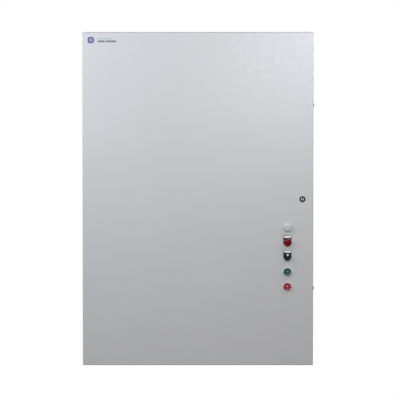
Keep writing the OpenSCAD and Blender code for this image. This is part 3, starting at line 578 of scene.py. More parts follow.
def make_materials():
    paint("door_paint", srgb(203, 204, 207), rough=0.40, rim_shade=DOOR_RIM_SHADE)
    paint("cabinet_paint", srgb(200, 201, 203), rough=0.43, peel=1.2)
    plated("zinc_plate", (0.60, 0.61, 0.61), rough=0.40, spangle=0.35, metal=0.85)
    plated("zinc_fastener", (0.66, 0.66, 0.63), rough=0.30, streak="X", metal=0.95,
           tint=(0.62, 0.60, 0.50))
    plated("hinge_steel", (0.56, 0.57, 0.57), rough=0.36)
    nickel()
    plated("bezel_metal", (0.62, 0.625, 0.63), rough=0.42, streak="Y", metal=0.35)
    bezel_painted_dark_tops()
    rubber("gasket_foam", (0.022, 0.022, 0.023), rough=0.82, cell=700.0)
    rubber("lock_black", (0.004, 0.004, 0.0045), rough=0.55, cell=1600.0)
    plastic("plug_grey", (0.085, 0.085, 0.09), rough=0.5)
    plastic("black_plastic", (0.022, 0.022, 0.024), rough=0.44)
    plastic("bezel_plastic", (0.016, 0.017, 0.019), rough=0.34, grain=0.6, wear=0.12)
    diffuser("white_diffuser", srgb(198, 199, 201), srgb(210, 211, 213), OPERATOR_Z[0],
             specular=0.18, coat=0.04, coat_rough=0.25)
    diffuser("red_diffuser", (0.250, 0.0006, 0.0020), (0.135, 0.007, 0.009), OPERATOR_Z[1],
             specular=0.12, coat=1.0, coat_rough=0.05)
    plastic("legend_white", srgb(243, 244, 245), rough=0.4, grain=0.5, wear=0.1)
    # the third colour of each cap is its painted highlight on the crown
    button_cap("green_cap", (0.030, 0.125, 0.092), (0.060, 0.175, 0.140), OPERATOR_Z[3])
    button_cap("red_cap", (0.40, 0.030, 0.052), (0.86, 0.100, 0.155), OPERATOR_Z[4])
    plastic("grey_contact", (0.085, 0.09, 0.10), rough=0.5)
    copper()
    plastic("duct_pvc", srgb(168, 172, 175), rough=0.5, grain=0.8)
    plated("extrusion", (0.68, 0.69, 0.70), rough=0.33, metal=0.9)
    paint("chassis_paint", (0.055, 0.058, 0.064), rough=0.5, peel=2.2)
    # name, colour, roughness, grain
    for name, base, rough, grain in (
        ("cover_grey", (0.115, 0.125, 0.14), 0.5, 1.6),
        ("cover_dark", (0.020, 0.021, 0.024), 0.5, 1.6),
        ("keypad_black", (0.018, 0.018, 0.020), 0.4, 0.8),
        ("module_black", (0.020, 0.020, 0.022), 0.55, 1.4),
        ("fan_black", (0.020, 0.020, 0.022), 0.42, 1.0),
        ("terminal_black", (0.022, 0.022, 0.024), 0.4, 1.0),
        ("breaker_black", (0.026, 0.026, 0.029), 0.46, 1.3),
        ("lever_white", srgb(222, 221, 214), 0.38, 0.6),
        ("contactor_grey", (0.060, 0.064, 0.072), 0.46, 1.3),
        ("relay_dark", (0.050, 0.054, 0.062), 0.42, 1.0),
        ("terminal_grey", srgb(176, 178, 172), 0.45, 0.8),
        ("filter_frame", (0.03, 0.03, 0.032), 0.5, 1.0),
    ):
        plastic(name, base, rough, grain)
    for make in (filter_mat, badge, capacitor_sleeve, circuit_board, keypad_keys,
                 lamination, winding):
        make()
    wire("wire_black", (0.018, 0.018, 0.020))
    wire("wire_red", (0.38, 0.020, 0.018))
    wire("wire_blue", (0.020, 0.055, 0.26))
    wire("wire_white", (0.55, 0.55, 0.53))
    wire("wire_earth", (0.07, 0.34, 0.05), band=(0.72, 0.62, 0.05))
    wire("sleeve", (0.030, 0.030, 0.033), rough=0.55)
    plated("ferrule", (0.66, 0.67, 0.68), rough=0.3)
    copper_braid()


make_materials()


# ------------------------------------------------------------------ edge finish
def geometry_group(name):
    """A new geometry node group, its input and its output."""
    group = bpy.data.node_groups.new(name, "GeometryNodeTree")
    for way in ("INPUT", "OUTPUT"):
        group.interface.new_socket("Geometry", in_out=way, socket_type="NodeSocketGeometry")
    start = group.nodes.new("NodeGroupInput").outputs[0]
    end = group.nodes.new("NodeGroupOutput").inputs[0]
    return group, start, end


@cache
def smooth_group(degrees):
    """Smooth faces, with sharp edges above the angle."""
    group, start, end = geometry_group("smooth_%d" % degrees)
    face = group.nodes.new("GeometryNodeSetShadeSmooth")
    face.domain = "FACE"
    face.inputs["Shade Smooth"].default_value = True
    edge = group.nodes.new("GeometryNodeSetShadeSmooth")
    edge.domain = "EDGE"
    edge.inputs["Shade Smooth"].default_value = False
    angle = group.nodes.new("GeometryNodeInputMeshEdgeAngle")
    compare = group.nodes.new("ShaderNodeMath")
    compare.operation = "GREATER_THAN"
    compare.inputs[1].default_value = math.radians(degrees)
    link = group.links.new
    link(angle.outputs["Unsigned Angle"], compare.inputs[0])
    link(start, face.inputs["Geometry"])
    link(face.outputs[0], edge.inputs["Geometry"])
    link(compare.outputs[0], edge.inputs["Selection"])
    link(edge.outputs[0], end)
    return group


@cache
def plain_normals():
    """Drops the mesh's own normals, so that those worked out after the bevel are used."""
    group, start, end = geometry_group("plain_normals")
    remove = group.nodes.new("GeometryNodeRemoveAttribute")
    remove.inputs["Name"].default_value = "custom_normal"
    smooth = group.nodes.new("GeometryNodeSetShadeSmooth")
    smooth.inputs["Shade Smooth"].default_value = True
    group.links.new(start, remove.inputs["Geometry"])
    group.links.new(remove.outputs[0], smooth.inputs["Geometry"])
    group.links.new(smooth.outputs[0], end)
    return group


def finish_mesh(part, bevel, angle=35, weld=False):
    if weld:
        part.modifiers.new("plain", "NODES").node_group = plain_normals()
        part.modifiers.new("weld", "WELD").merge_threshold = 2e-6
    if bevel:
        rounding = part.modifiers.new("bevel", "BEVEL")
        rounding.width = bevel
        rounding.segments = 2
        rounding.limit_method = "ANGLE"
        rounding.angle_limit = math.radians(40)
        rounding.miter_outer = "MITER_ARC"
        rounding.use_clamp_overlap = True
    part.modifiers.new("smooth", "NODES").node_group = smooth_group(angle)
    normals = part.modifiers.new("normals", "WEIGHTED_NORMAL")
    normals.keep_sharp = True
    normals.weight = 50


# ------------------------------------------------------------------ CAD pieces
# bevel width: the pieces that have it; the rest have none
BEVELS = {
    0.00015: "name_badge",
    0.0002: "din_rails legend_inserts latch_insert",
    0.0003: "gland_plate_screws hinge_pins drive_heatsink dc_bus_bars latch_cam upper_rod "
            "lower_rod operator_bezels button_bezels latch_housing drive_fan_rotor_left "
            "drive_fan_rotor_right",
    0.0004: "gland_plate mounting_panel hinge_body_leaves hinge_door_leaves rod_guides "
            "legend_frames wire_ducts",
    0.0005: "panel_nuts earth_bar drive_chassis line_reactor_core transformer_core "
            "terminal_blocks door_stiffeners vent_filters",
    0.0006: "cabinet_shell power_terminals control_relays",
    0.0008: "igbt_modules contactor_armature",
    0.0010: "drive_front_cover drive_terminal_cover contact_blocks",
    0.0012: "keypad_housing line_breaker breaker_toggle contactor_housing transformer_coils",
    0.0020: "line_reactor_coils",
}
# pieces whose material differs from their slot's name
OWN_MATERIAL = {"latch_housing": "lock_black", "operator_bezels": "bezel_painted_dark_tops"}


def dress_parts():
    slots = {part["node"]: part["material_slot"] for part in frame["record"]["subparts"]}
    widths = {name: width for width, names in BEVELS.items() for name in names.split()}
    for name in parts:
        for slot in parts[name].material_slots:
            slot.material = MATERIALS[OWN_MATERIAL.get(name, slots[name])]
        finish_mesh(parts[name], widths.get(name, 0.0), weld=True)


dress_parts()


# ------------------------------------------------------------------ mesh tools
def build(shape, name, materials, body=None, bevel=0.0, angle=35):
    """Turn a bmesh into a finished object that rides on a body and fills a slot."""
    mesh = bpy.data.meshes.new(name)
    shape.to_mesh(mesh)
    shape.free()
    part = bpy.data.objects.new(name, mesh)
    bpy.context.scene.collection.objects.link(part)
    for material in materials:
        mesh.materials.append(MATERIALS[material])
    finish_mesh(part, bevel, angle)
    if body:
        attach(part, body)
    return part


def spline(points, step=0.006):
    """Catmull-Rom through the points, sampled at about step metres."""
    points = [Vector(point) for point in points]
    points = [points[0] * 2 - points[1]] + points + [points[-1] * 2 - points[-2]]
    path = []
    for before, start, end, after in zip(points, points[1:], points[2:], points[3:]):
        count = max(2, int((end - start).length / step))
        for k in range(count):
            t = k / count
            path.append(0.5 * (
                (2 * start) + (end - before) * t
                + (2 * before - 5 * start + 4 * end - after) * t * t
                + (3 * start - before - 3 * end + after) * t * t * t))
    path.append(points[-2])
    return path


def add_face(shape, corners, material=0, smooth=True):
    face = shape.faces.new(corners)
    face.material_index = material
    face.smooth = smooth


def tube(shape, path, radius, material=0, sides=10, swell=None, flat=None):
    """A capped tube along a path; swell(i) scales its radius.

    flat=(width, thickness) makes a flat strap instead.
    """
    path = [Vector(point) for point in path]
    last = len(path) - 1
    tangents = [(path[min(last, i + 1)] - path[max(0, i - 1)]).normalized()
                for i in range(last + 1)]
    first = tangents[0]
    up = Vector((0, 0, 1)) if abs(first.z) < 0.9 else Vector((1, 0, 0))
    normal = (up - first * up.dot(first)).normalized()
    rings = []
    for i, (point, tangent) in enumerate(zip(path, tangents)):
        normal = (normal - tangent * normal.dot(tangent)).normalized()
        side = tangent.cross(normal)
        reach = radius * (swell(i) if swell else 1.0)
        ring = []
        for k in range(sides):
            angle = math.tau * k / sides
            along, across = math.cos(angle), math.sin(angle)
            if flat:
                along = math.copysign(abs(along) ** 0.35, along) * flat[0] / 2
                across *= flat[1] / 2
            else:
                along *= reach
                across *= reach
            ring.append(shape.verts.new(point + normal * along + side * across))
        rings.append(ring)
    for near, far in zip(rings, rings[1:]):
        for k in range(sides):
            after = (k + 1) % sides
            add_face(shape, (near[k], near[after], far[after], far[k]), material)
    add_face(shape, list(reversed(rings[0])), material, smooth=False)
    add_face(shape, rings[-1], material, smooth=False)


def cable(shape, points, radius, material=0, sides=10, step=0.007):
    tube(shape, spline(points, step), radius, material, sides)


def basis(axis):
    axis = Vector(axis).normalized()
    side = (Vector((0, 0, 1)) if abs(axis.z) < 0.9 else Vector((1, 0, 0))).cross(axis)
    side.normalize()
    return side, axis.cross(side), axis


def lathe(shape, centre, axis, profile, segments=48, material=0):
    """Turn a profile of (radius, height along axis); a zero radius closes to a point."""
    centre = Vector(centre)
    x, y, z = basis(axis)
    rings = []
    for radius, height in profile:
        middle = centre + z * height
        if radius < 1e-9:
            rings.append([shape.verts.new(middle)])
            continue
        angles = [math.tau * k / segments for k in range(segments)]
        rings.append([shape.verts.new(middle + (x * math.cos(a) + y * math.sin(a)) * radius)
                      for a in angles])
    for near, far in zip(rings, rings[1:]):
        for k in range(segments):
            after = (k + 1) % segments
            if len(near) == 1:
                corners = (near[0], far[after], far[k])
            elif len(far) == 1:
                corners = (near[k], near[after], far[0])
            else:
                corners = (near[k], near[after], far[after], far[k])
            add_face(shape, corners, material)
    return rings


SCREW_SEGMENTS = 24
SCREW_TURN = 0.3  # radians the recess is turned by
# head rings: share of radius, share of height, whether the ring follows the recess
SCREW_RINGS = (
    (1.0, 0, False), (1.0, 0.35, False), (0.93, 0.75, False),
    (0.76, 1.0, False), (0.66, 1.0, True), (0.60, 0.35, True),
)


def screw(shape, centre, axis, radius, height, material=0, cross=True):
    """Pan head with a cross or a slot recess cut into it."""
    x, y, z = basis(axis)
    lobes, sharpness = (2, 10) if cross else (1, 18)
    rings = []
    for radius_share, height_share, recess in SCREW_RINGS:
        ring = []
        for k in range(SCREW_SEGMENTS):
            angle = math.tau * k / SCREW_SEGMENTS
            reach = radius * radius_share
            if recess:
                reach *= 0.30 + 0.70 * abs(math.cos(angle * lobes)) ** sharpness
            angle += SCREW_TURN
            ring.append(shape.verts.new(
                Vector(centre) + z * (height * height_share)
                + (x * math.cos(angle) + y * math.sin(angle)) * reach))
        rings.append(ring)
    for near, far in zip(rings, rings[1:]):
        for k in range(SCREW_SEGMENTS):
            after = (k + 1) % SCREW_SEGMENTS
            add_face(shape, (near[k], near[after], far[after], far[k]), material, smooth=False)
    add_face(shape, rings[-1], material, smooth=False)
    add_face(shape, list(reversed(rings[0])), material, smooth=False)


def slab(shape, low, high, material=0):
    low, high = Vector(low), Vector(high)
    place = Matrix.Translation((low + high) / 2) @ Matrix.Diagonal((*(high - low), 1.0))
    for corner in bmesh.ops.create_cube(shape, size=1.0, matrix=place)["verts"]:
        for face in corner.link_faces:
            face.material_index = material


# ------------------------------------------------------------------ door operators
# Their profiles are (radius, height in front of the seat).
LENS_RADIUS = 0.0139
LENS_SIDE = 0.0078  # height at which the dome starts
LENS_DOME = 0.0062


def operator_lens(name, node, slot, z, seat_y):
    """Domed lens on a narrower stem."""
    profile = [(0.0, -0.008), (0.0092, -0.008), (0.0092, 0.0017), (0.0134, 0.0017),
               (0.01385, 0.0020), (LENS_RADIUS, 0.0024)]
    for k in range(18):
        angle = math.pi / 2 * k / 18
        profile.append((LENS_RADIUS * math.cos(angle) ** 0.5,
                        LENS_SIDE + LENS_DOME * math.sin(angle)))
    profile.append((0.0, LENS_SIDE + LENS_DOME))
    shape = bmesh.new()
    lathe(shape, (OPERATOR_X, seat_y, z), FRONT, profile, 64)
    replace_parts(build(shape, name, [slot], "door", angle=40), node)


def push_cap(name, node, slot, body, z):
    """Button cap with a rolled rim, a dished valley inside it, then a small crown."""
    profile = [(0.0, -0.0216), (0.0028, -0.0216), (0.0028, -0.0086), (0.0094, -0.0086),
               (0.0094, 0.0), (0.0126, 0.0), (0.0129, 0.0003), (0.0129, 0.0030)]
    roll = 0.0006
    for k in range(1, 9):
        angle = math.pi * k / 9
        profile.append((0.0123 + roll * math.cos(angle), 0.0030 + roll * math.sin(angle)))
    for k in range(9):
        t = k / 8
        profile.append((0.0116 - 0.0046 * t, 0.0032 - 0.0027 * math.sin(t * math.pi / 2)))
    crown_top, crown_curve = 0.0042, 0.0082
    for k in range(1, 17):
        radius = 0.0064 * (1 - k / 16)
        drop = crown_curve - math.sqrt(crown_curve * crown_curve - radius * radius)
        profile.append((radius, crown_top - drop))
    shape = bmesh.new()
    lathe(shape, (OPERATOR_X, DOOR_FRONT - 0.0046, z), FRONT, profile, 64)
    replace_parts(build(shape, name, [slot], body, angle=40), node)


def return_spring(name, z):
    """Round-wire coil behind a cap."""
    front_y, back_y = -0.3451, -0.3381
    turns, radius, count = 3.4, 0.0064, 140
    path = []
    for k in range(count + 1):
        t = k / count
        # closed ends: there is no pitch over the first and last 0.4 of a turn
        rise = min(1.0, max(0.0, (t * turns - 0.4) / (turns - 0.8)))
        angle = math.tau * turns * t
        path.append((OPERATOR_X + radius * math.cos(angle),
                     front_y + (back_y - front_y) * rise,
                     z + radius * math.sin(angle)))
    shape = bmesh.new()
    tube(shape, path, radius=0.00055, sides=8)
    spring = build(shape, name, ["zinc_fastener"], "door", angle=50)
    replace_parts(spring, "button_springs")
    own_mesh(spring)


SELECTOR_Y = DOOR_FRONT - LEGEND_THICKNESS
SELECTOR_Z = OPERATOR_Z[2]
SKIRT = [
    (0.0, -0.0162), (0.0094, -0.0162), (0.0094, -0.0008), (0.0118, 0.0006), (0.0122, 0.0010),
    (0.0122, 0.0050), (0.0119, 0.0058), (0.0110, 0.0062), (0.0, 0.0064),
]
# height in front of the seat, share of width, share of length
GRIP_LEVELS = [
    (0.0058, 1.06, 1.02), (0.0075, 1.0, 1.0), (0.0120, 0.88, 0.985),
    (0.0160, 0.90, 0.97), (0.0172, 0.84, 0.95), (0.0178, 0.70, 0.90),
]
GRIP_POINTS = 48
# white index pad, sized to also stand for a painted highlight on the grip's end
# height above centre, depth (negative is forward), half width
POINTER_AND_GLINT = [
    (0.0049, -0.01795, 0.0016), (0.0056, -0.01830, 0.0026), (0.0088, -0.01815, 0.0029),
    (0.0104, -0.01755, 0.0030), (0.01115, -0.01640, 0.0030), (0.01135, -0.01480, 0.0028),
    (0.01120, -0.01350, 0.0026),
]
POINTER_ACROSS = (-1, -0.8, -0.4, 0, 0.4, 0.8, 1)


def selector_grip():
    """Fluted skirt with a waisted grip across it, narrower at its lower end."""
    shape = bmesh.new()
    rings = lathe(shape, (OPERATOR_X, SELECTOR_Y, SELECTOR_Z), FRONT, SKIRT, 96)
    for ring in rings[4:7]:
        for k, vert in enumerate(ring):
            if k % 4 in (0, 1):
                outward = Vector((vert.co.x - OPERATOR_X, 0, vert.co.z - SELECTOR_Z))
                vert.co -= outward * 0.022
    outline = []
    for k in range(GRIP_POINTS):
        angle = math.tau * k / GRIP_POINTS
        across, up = math.sin(angle), math.cos(angle)
        width = 0.0050
        if up <= -0.2:
            width -= 0.0022 * (-0.2 - up) / 0.8
        outline.append((math.copysign(abs(across) ** 0.55, across) * width,
                        math.copysign(abs(up) ** 0.8, up) * 0.0112))
    loops = [[shape.verts.new((OPERATOR_X + x * wide, SELECTOR_Y - height, SELECTOR_Z + z * long))
              for x, z in outline] for height, wide, long in GRIP_LEVELS]
    for near, far in zip(loops, loops[1:]):
        for k in range(GRIP_POINTS):
            after = (k + 1) % GRIP_POINTS
            add_face(shape, (near[k], far[k], far[after], near[after]))
    shape.faces.new(loops[-1])
    shape.faces.new(list(reversed(loops[0])))
    bmesh.ops.recalc_face_normals(shape, faces=shape.faces)
    grip = build(shape, "selector_grip", ["bezel_plastic"], "selector",
                 angle=45)
    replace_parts(grip, "selector_knob")


def selector_pointer_and_glint():
    """White index pad let into the upper end of the grip, turned over its end; made wide and
    bright so that it also stands for a painted highlight on the grip's end.
    """
    shape = bmesh.new()
    outer = [[shape.verts.new((OPERATOR_X + half * t, SELECTOR_Y + depth + 0.00018 * t * t,
                               SELECTOR_Z + height)) for t in POINTER_ACROSS]
             for height, depth, half in POINTER_AND_GLINT]
    inner = [[shape.verts.new((vert.co.x, vert.co.y + 0.0009, vert.co.z - 0.0006))
              for vert in line] for line in outer]
    face = shape.faces.new
    for near, far in zip(outer, outer[1:]):
        for k in range(6):
            face((near[k], near[k + 1], far[k + 1], far[k]))
    for near, far in zip(inner, inner[1:]):
        for k in range(6):
            face((near[k + 1], near[k], far[k], far[k + 1]))
    for i in range(len(outer) - 1):
        face((outer[i][0], outer[i + 1][0], inner[i + 1][0], inner[i][0]))
        face((outer[i + 1][6], outer[i][6], inner[i][6], inner[i + 1][6]))
    for k in range(6):
        face((outer[0][k + 1], outer[0][k], inner[0][k], inner[0][k + 1]))
        face((outer[-1][k], outer[-1][k + 1], inner[-1][k + 1], inner[-1][k]))
    bmesh.ops.recalc_face_normals(shape, faces=shape.faces)
    build(shape, "selector_pointer_and_glint", ["legend_white"], "selector", angle=40)


def operator_seals():
    """Rubber rings behind the flanges of the white lens and the two caps."""
    # step out from the seal's radius, height in front of the door
    section = ((-0.0003, 0.0002), (0.0002, 0.0002), (0.0004, 0.00035),
               (0.0002, 0.00055), (-0.0003, 0.00055), (-0.0003, 0.0002))
    shape = bmesh.new()
    for i, radius in ((0, 0.0124), (3, 0.0134), (4, 0.0134)):
        profile = [(radius + step, height) for step, height in section]
        lathe(shape, (OPERATOR_X, DOOR_FRONT, OPERATOR_Z[i]), FRONT, profile, 64)
    build(shape, "operator_seals", ["gasket_foam"], "door", angle=40)


operator_lens("lens_white", "white_lens", "white_diffuser", OPERATOR_Z[0], DOOR_FRONT)
operator_lens("lens_red", "red_lens", "red_diffuser", OPERATOR_Z[1],
              DOOR_FRONT - LEGEND_THICKNESS)
push_cap("cap_green", "green_button", "green_cap", "start_button", OPERATOR_Z[3])
push_cap("cap_red", "red_button", "red_cap", "stop_button", OPERATOR_Z[4])
return_spring("spring_green", OPERATOR_Z[3])
return_spring("spring_red", OPERATOR_Z[4])
selector_grip()
selector_pointer_and_glint()
operator_seals()


# ------------------------------------------------------------------ screws
def around(centre, half):
    return centre - half, centre + half


def screw_grid(shape, xs, y, zs, radius, height, axis=FRONT, cross=True):
    for x in xs:
        for z in zs:
            screw(shape, (x, y, z), axis, radius, height, cross=cross)


def panel_screws():
    shape = bmesh.new()
    # drive: flanges, front cover, terminal cover; then the earth bar and transformer feet
    # xs, y, zs, radius, height
    for grid in (
        ((-0.310, -0.018), -0.0362, (-0.074, 0.474), 0.0055, 0.0032),
        ((-0.296, -0.032), -0.2635, (0.068, 0.472), 0.0025, 0.0018),
        ((-0.300, -0.028), -0.2630, (0.030,), 0.0025, 0.0018),
        (EARTH_X, -0.0622, (-0.4925,), 0.0048, 0.0034),
        (around(0.120, 0.055), -0.0342, around(-0.050, 0.034), 0.0042, 0.0028),
    ):
        screw_grid(shape, *grid)
    for breaker_x, contactor_x in zip(BREAKER_X, CONTACTOR_X):
        for side in (-1, 1):
            screw(shape, (breaker_x, -0.0600, 0.360 + side * 0.072), FRONT, 0.0052, 0.0035)
            screw(shape, (contactor_x, -0.0600, 0.360 + side * 0.066), FRONT, 0.0056, 0.0040)
    screw_grid(shape, FUSE_X, -0.0760, around(0.090, 0.031), radius=0.0030, height=0.0022)
    for x in RELAY_X:
        for z in around(0.090, 0.031):
            screw_grid(shape, around(x, RELAY_PIN_DX), -0.0520, (z,),
                       radius=0.0026, height=0.0020)
    screw_grid(shape, TERMINAL_X, -0.0680, around(-0.300, 0.018),
               radius=0.0031, height=0.0024, cross=False)
    # duct and rail fixings
    for xs, zs in (((0.032,), (0.480, 0.300, -0.120)), ((0.062, 0.330), (0.206, -0.206))):
        screw_grid(shape, xs, -0.0905, zs, radius=0.0032, height=0.0012)
    build(shape, "panel_screws", ["zinc_fastener"], "enclosure", angle=28)


def door_screws():
    """Heads on the inside of the door: rod guides, hinges, corners and contact blocks."""
    shape = bmesh.new()
    for side in (-1, 1):
        for z in (0.140, 0.330, 0.520):
            screw_grid(shape, (LATCH_X - side * 0.0108 - 0.001,), -0.3460,
                       around(side * z, 0.0084), radius=0.0026, height=0.0016, axis=BACK)
        screw_grid(shape, (-0.3915,), -0.3450, around(side * 0.318, 0.0333),
                   radius=0.0022, height=0.0012, axis=BACK)
    screw_grid(shape, (-0.330, 0.250), -0.3340, (-0.49, 0.49),
               radius=0.0045, height=0.0028, axis=BACK)
    for z in OPERATOR_Z:
        screw_grid(shape, around(OPERATOR_X, CONTACT_DX), -0.3056, around(z, CONTACT_DZ),
                   radius=0.0026, height=0.0022, axis=BACK)
    build(shape, "door_screws", ["zinc_fastener"], "door", angle=28)


panel_screws()
door_screws()


# ------------------------------------------------------------------ power wiring
POLE_CABLE = dict(radius=0.0048, sides=14)
POLE_SLEEVE = dict(radius=0.0053, material=1, sides=14)
REACTOR_CABLE = dict(radius=0.0050, sides=14)
# load-side drops into the upper duct: pole places, cable stations, sleeve stations;
# each station is (offset from the pole, y, z)
LOAD_DROPS = (
    (BREAKER_X,
     ((0, -0.060, 0.298), (0, -0.064, 0.280), (0.001, -0.068, 0.262), (0, -0.064, 0.240),
      (0, -0.060, 0.222)),
     ((0, -0.060, 0.300), (0, -0.0635, 0.284))),
    (CONTACTOR_X,
     ((0, -0.062, 0.303), (0, -0.066, 0.284), (-0.001, -0.070, 0.264), (0, -0.066, 0.240),
      (0, -0.060, 0.222)),
     ((0, -0.062, 0.304), (0, -0.0655, 0.288))),
)


def beside(x, stations):
    return [(x + offset, y, z) for offset, y, z in stations]


def power_cables():
    shape = bmesh.new()
    for poles, drop, sleeve in LOAD_DROPS:
        for x in poles:
            cable(shape, beside(x, drop), **POLE_CABLE)
            tube(shape, beside(x, sleeve), **POLE_SLEEVE)
    # contactor line side: from the upright duct, over the breaker
    for k, x in enumerate(CONTACTOR_X):
        z = 0.466 + (2 - k) * 0.0125
        cable(shape, [
            (0.046, -0.064, z), (0.075, -0.066, z), (0.140, -0.068, z + 0.001),
            (x - 0.045, -0.068, z), (x - 0.014, -0.068, z - 0.003), (x, -0.068, z - 0.020),
            (x, -0.066, 0.438), (x, -0.062, 0.420)], **POLE_CABLE)
        tube(shape, [(x, -0.0655, 0.436), (x, -0.062, 0.418)], **POLE_SLEEVE)
    # lower duct to the reactor, and the reactor to the drive's line terminals
    for k, x in enumerate(REACTOR_X):
        duct_z = -0.214 + k * 0.011
        drop_x = -0.036 + k * 0.013
        low_z = -0.463 - k * 0.0125
        cable(shape, [
            (0.020, -0.052 - k * 0.008, duct_z), (-0.004, -0.060 - k * 0.008, duct_z),
            (drop_x + 0.006, -0.084 - k * 0.010, duct_z - 0.014),
            (drop_x, -0.118, duct_z - 0.050), (drop_x, -0.140, -0.330),
            (drop_x, -0.148, -0.410), (drop_x - 0.004, -0.150, low_z + 0.016),
            (drop_x - 0.020, -0.151, low_z), (x + 0.030, -0.153, low_z),
            (x + 0.012, -0.154, low_z + 0.003), (x + 0.001, -0.153, low_z + 0.018),
            (x, -0.1480, -0.424), (x, -0.1430, -0.404)], **REACTOR_CABLE)
        drive_x = -0.274 + k * 0.044
        shift = drive_x - x
        cable(shape, [
            (x, -0.1430, -0.326), (x, -0.152, -0.300), (x + shift * 0.25, -0.166, -0.262),
            (x + shift * 0.8, -0.168, -0.190), (drive_x, -0.167, -0.140),
            (drive_x, -0.167, -0.094), (drive_x, -0.165, -0.066)], **REACTOR_CABLE)
    build(shape, "power_cables", ["wire_black", "sleeve"], "enclosure",
          angle=50)


def reactor_lugs():
    """Copper lugs at both ends of the reactor coils."""
    shape = bmesh.new()
    for x in REACTOR_X:
        for z, way in ((-0.400, -1), (-0.330, 1)):
            slab(shape, (x - 0.008, -0.1386, z - 0.011), (x + 0.008, -0.1360, z + 0.011))
            barrel = [(x, -0.1420, z - way * 0.002), (x, -0.1430, z + way * 0.012)]
            tube(shape, barrel, radius=0.0062, sides=16)
            screw(shape, (x, -0.1386, z - way * 0.004), FRONT,
                  radius=0.0044, height=0.0036, material=1)
    build(shape, "reactor_lugs", ["copper", "zinc_fastener"], "enclosure",
          bevel=0.0003)


power_cables()
reactor_lugs()

# ------------------------------------------------------------------ control wiring
WIRE_COLORS = ["wire_blue", "wire_red", "wire_black", "wire_white"]
BLUE, RED, BLACK, WHITE, SLEEVE = range(5)
CONTROL_RADIUS = 0.00135
BUNDLE_X, BUNDLE_Y = 0.322, -0.056


def control_wires():
    shape = bmesh.new()
    draw = random.Random(5)
    thin = dict(radius=CONTROL_RADIUS, sides=8, step=0.004)
    thick = dict(radius=CONTROL_RADIUS * 1.15, sides=8, step=0.004)
    # terminal strip to the lower duct
    for i, x in enumerate(TERMINAL_X):
        sway = draw.uniform(-0.003, 0.003)
        cable(shape, beside(x, (
            (0, -0.072, -0.278), (0, -0.073, -0.268), (sway, -0.078, -0.250),
            (sway, -0.072, -0.234), (0, -0.064, -0.222))), material=i * 7 % 4, **thin)
    # fuse holders: up to the upper duct, and down to the transformer
    for i, x in enumerate(FUSE_X):
        sway = draw.uniform(-0.003, 0.003)
        color = RED if i < 3 else WHITE
        cable(shape, beside(x, (
            (0, -0.072, 0.124), (0, -0.078, 0.136), (sway, -0.082, 0.160),
            (sway, -0.074, 0.178), (0, -0.066, 0.190))), material=color, **thick)
        low_x = 0.100 + i * 0.013
        cable(shape, [
            (x, -0.072, 0.056), (x, -0.079, 0.044), (x + sway, -0.084, 0.026),
            (low_x, -0.090, 0.004), (low_x, -0.096, -0.018), (low_x, -0.094, -0.030)],
            material=color, **thick)
    # relays up to the upper duct
    for i, centre in enumerate(RELAY_X):
        for side, x in enumerate(around(centre, RELAY_PIN_DX)):
            sway = draw.uniform(-0.004, 0.004)
            cable(shape, beside(x, (
                (0, -0.052, 0.124), (0, -0.058, 0.138), (sway, -0.066, 0.158),
                (sway, -0.070, 0.176), (0, -0.062, 0.190))),
                material=(i * 3 + side) % 4, **thin)
    # a laced bundle from the relays down the right side into the lower duct
    for i, centre in enumerate(RELAY_X):
        for side, x in enumerate(around(centre, RELAY_PIN_DX)):
            k = i * 2 + side
            angle = math.tau * k / 10
            lane_x = BUNDLE_X + math.cos(angle) * 0.0052
            lane_y = BUNDLE_Y + math.sin(angle) * 0.0052
            cable(shape, [
                (x, -0.052, 0.056), (x, -0.060, 0.042), (x + 0.004, -0.064, 0.030 - 0.001 * k),
                (min(lane_x - 0.012, x + 0.05), -0.060, 0.018 - 0.0014 * k),
                (lane_x - 0.004, lane_y, 0.004), (lane_x, lane_y, -0.016),
                (lane_x, lane_y, -0.100), (lane_x, lane_y, -0.192)],
                CONTROL_RADIUS, (i + 2 * side) % 4, sides=7, step=0.006)
    tie = [(0.0066, -0.0018), (0.0080, -0.0018), (0.0082, 0.0), (0.0080, 0.0018),
           (0.0066, 0.0018), (0.0066, -0.0018)]
    for z in (-0.040, -0.090, -0.140):
        lathe(shape, (BUNDLE_X, BUNDLE_Y, z), (0, 0, 1), tie, 20, SLEEVE)
        slab(shape, (0.3280, -0.0655, z - 0.0018), (0.3320, -0.0620, z + 0.0018), SLEEVE)
    # two wires down the right side of the contactor
    cable(shape, [
        (0.318, -0.090, 0.430), (0.326, -0.086, 0.436), (0.331, -0.070, 0.420),
        (0.3305, -0.060, 0.360), (0.330, -0.058, 0.222)], CONTROL_RADIUS, RED, sides=8)
    cable(shape, [
        (0.312, -0.090, 0.432), (0.324, -0.088, 0.441), (0.3345, -0.072, 0.424),
        (0.3345, -0.060, 0.360), (0.334, -0.058, 0.222)], CONTROL_RADIUS, BLACK, sides=8)
    # sheathed cable in the gap between the drive and the duct
    cable(shape, [
        (-0.010, -0.200, -0.060), (0.000, -0.160, -0.080), (0.004, -0.110, -0.110),
        (0.006, -0.080, -0.160), (0.018, -0.060, -0.204)], 0.0030, SLEEVE, sides=12)
    build(shape, "control_wires", WIRE_COLORS + ["sleeve"], "enclosure",
          angle=50)


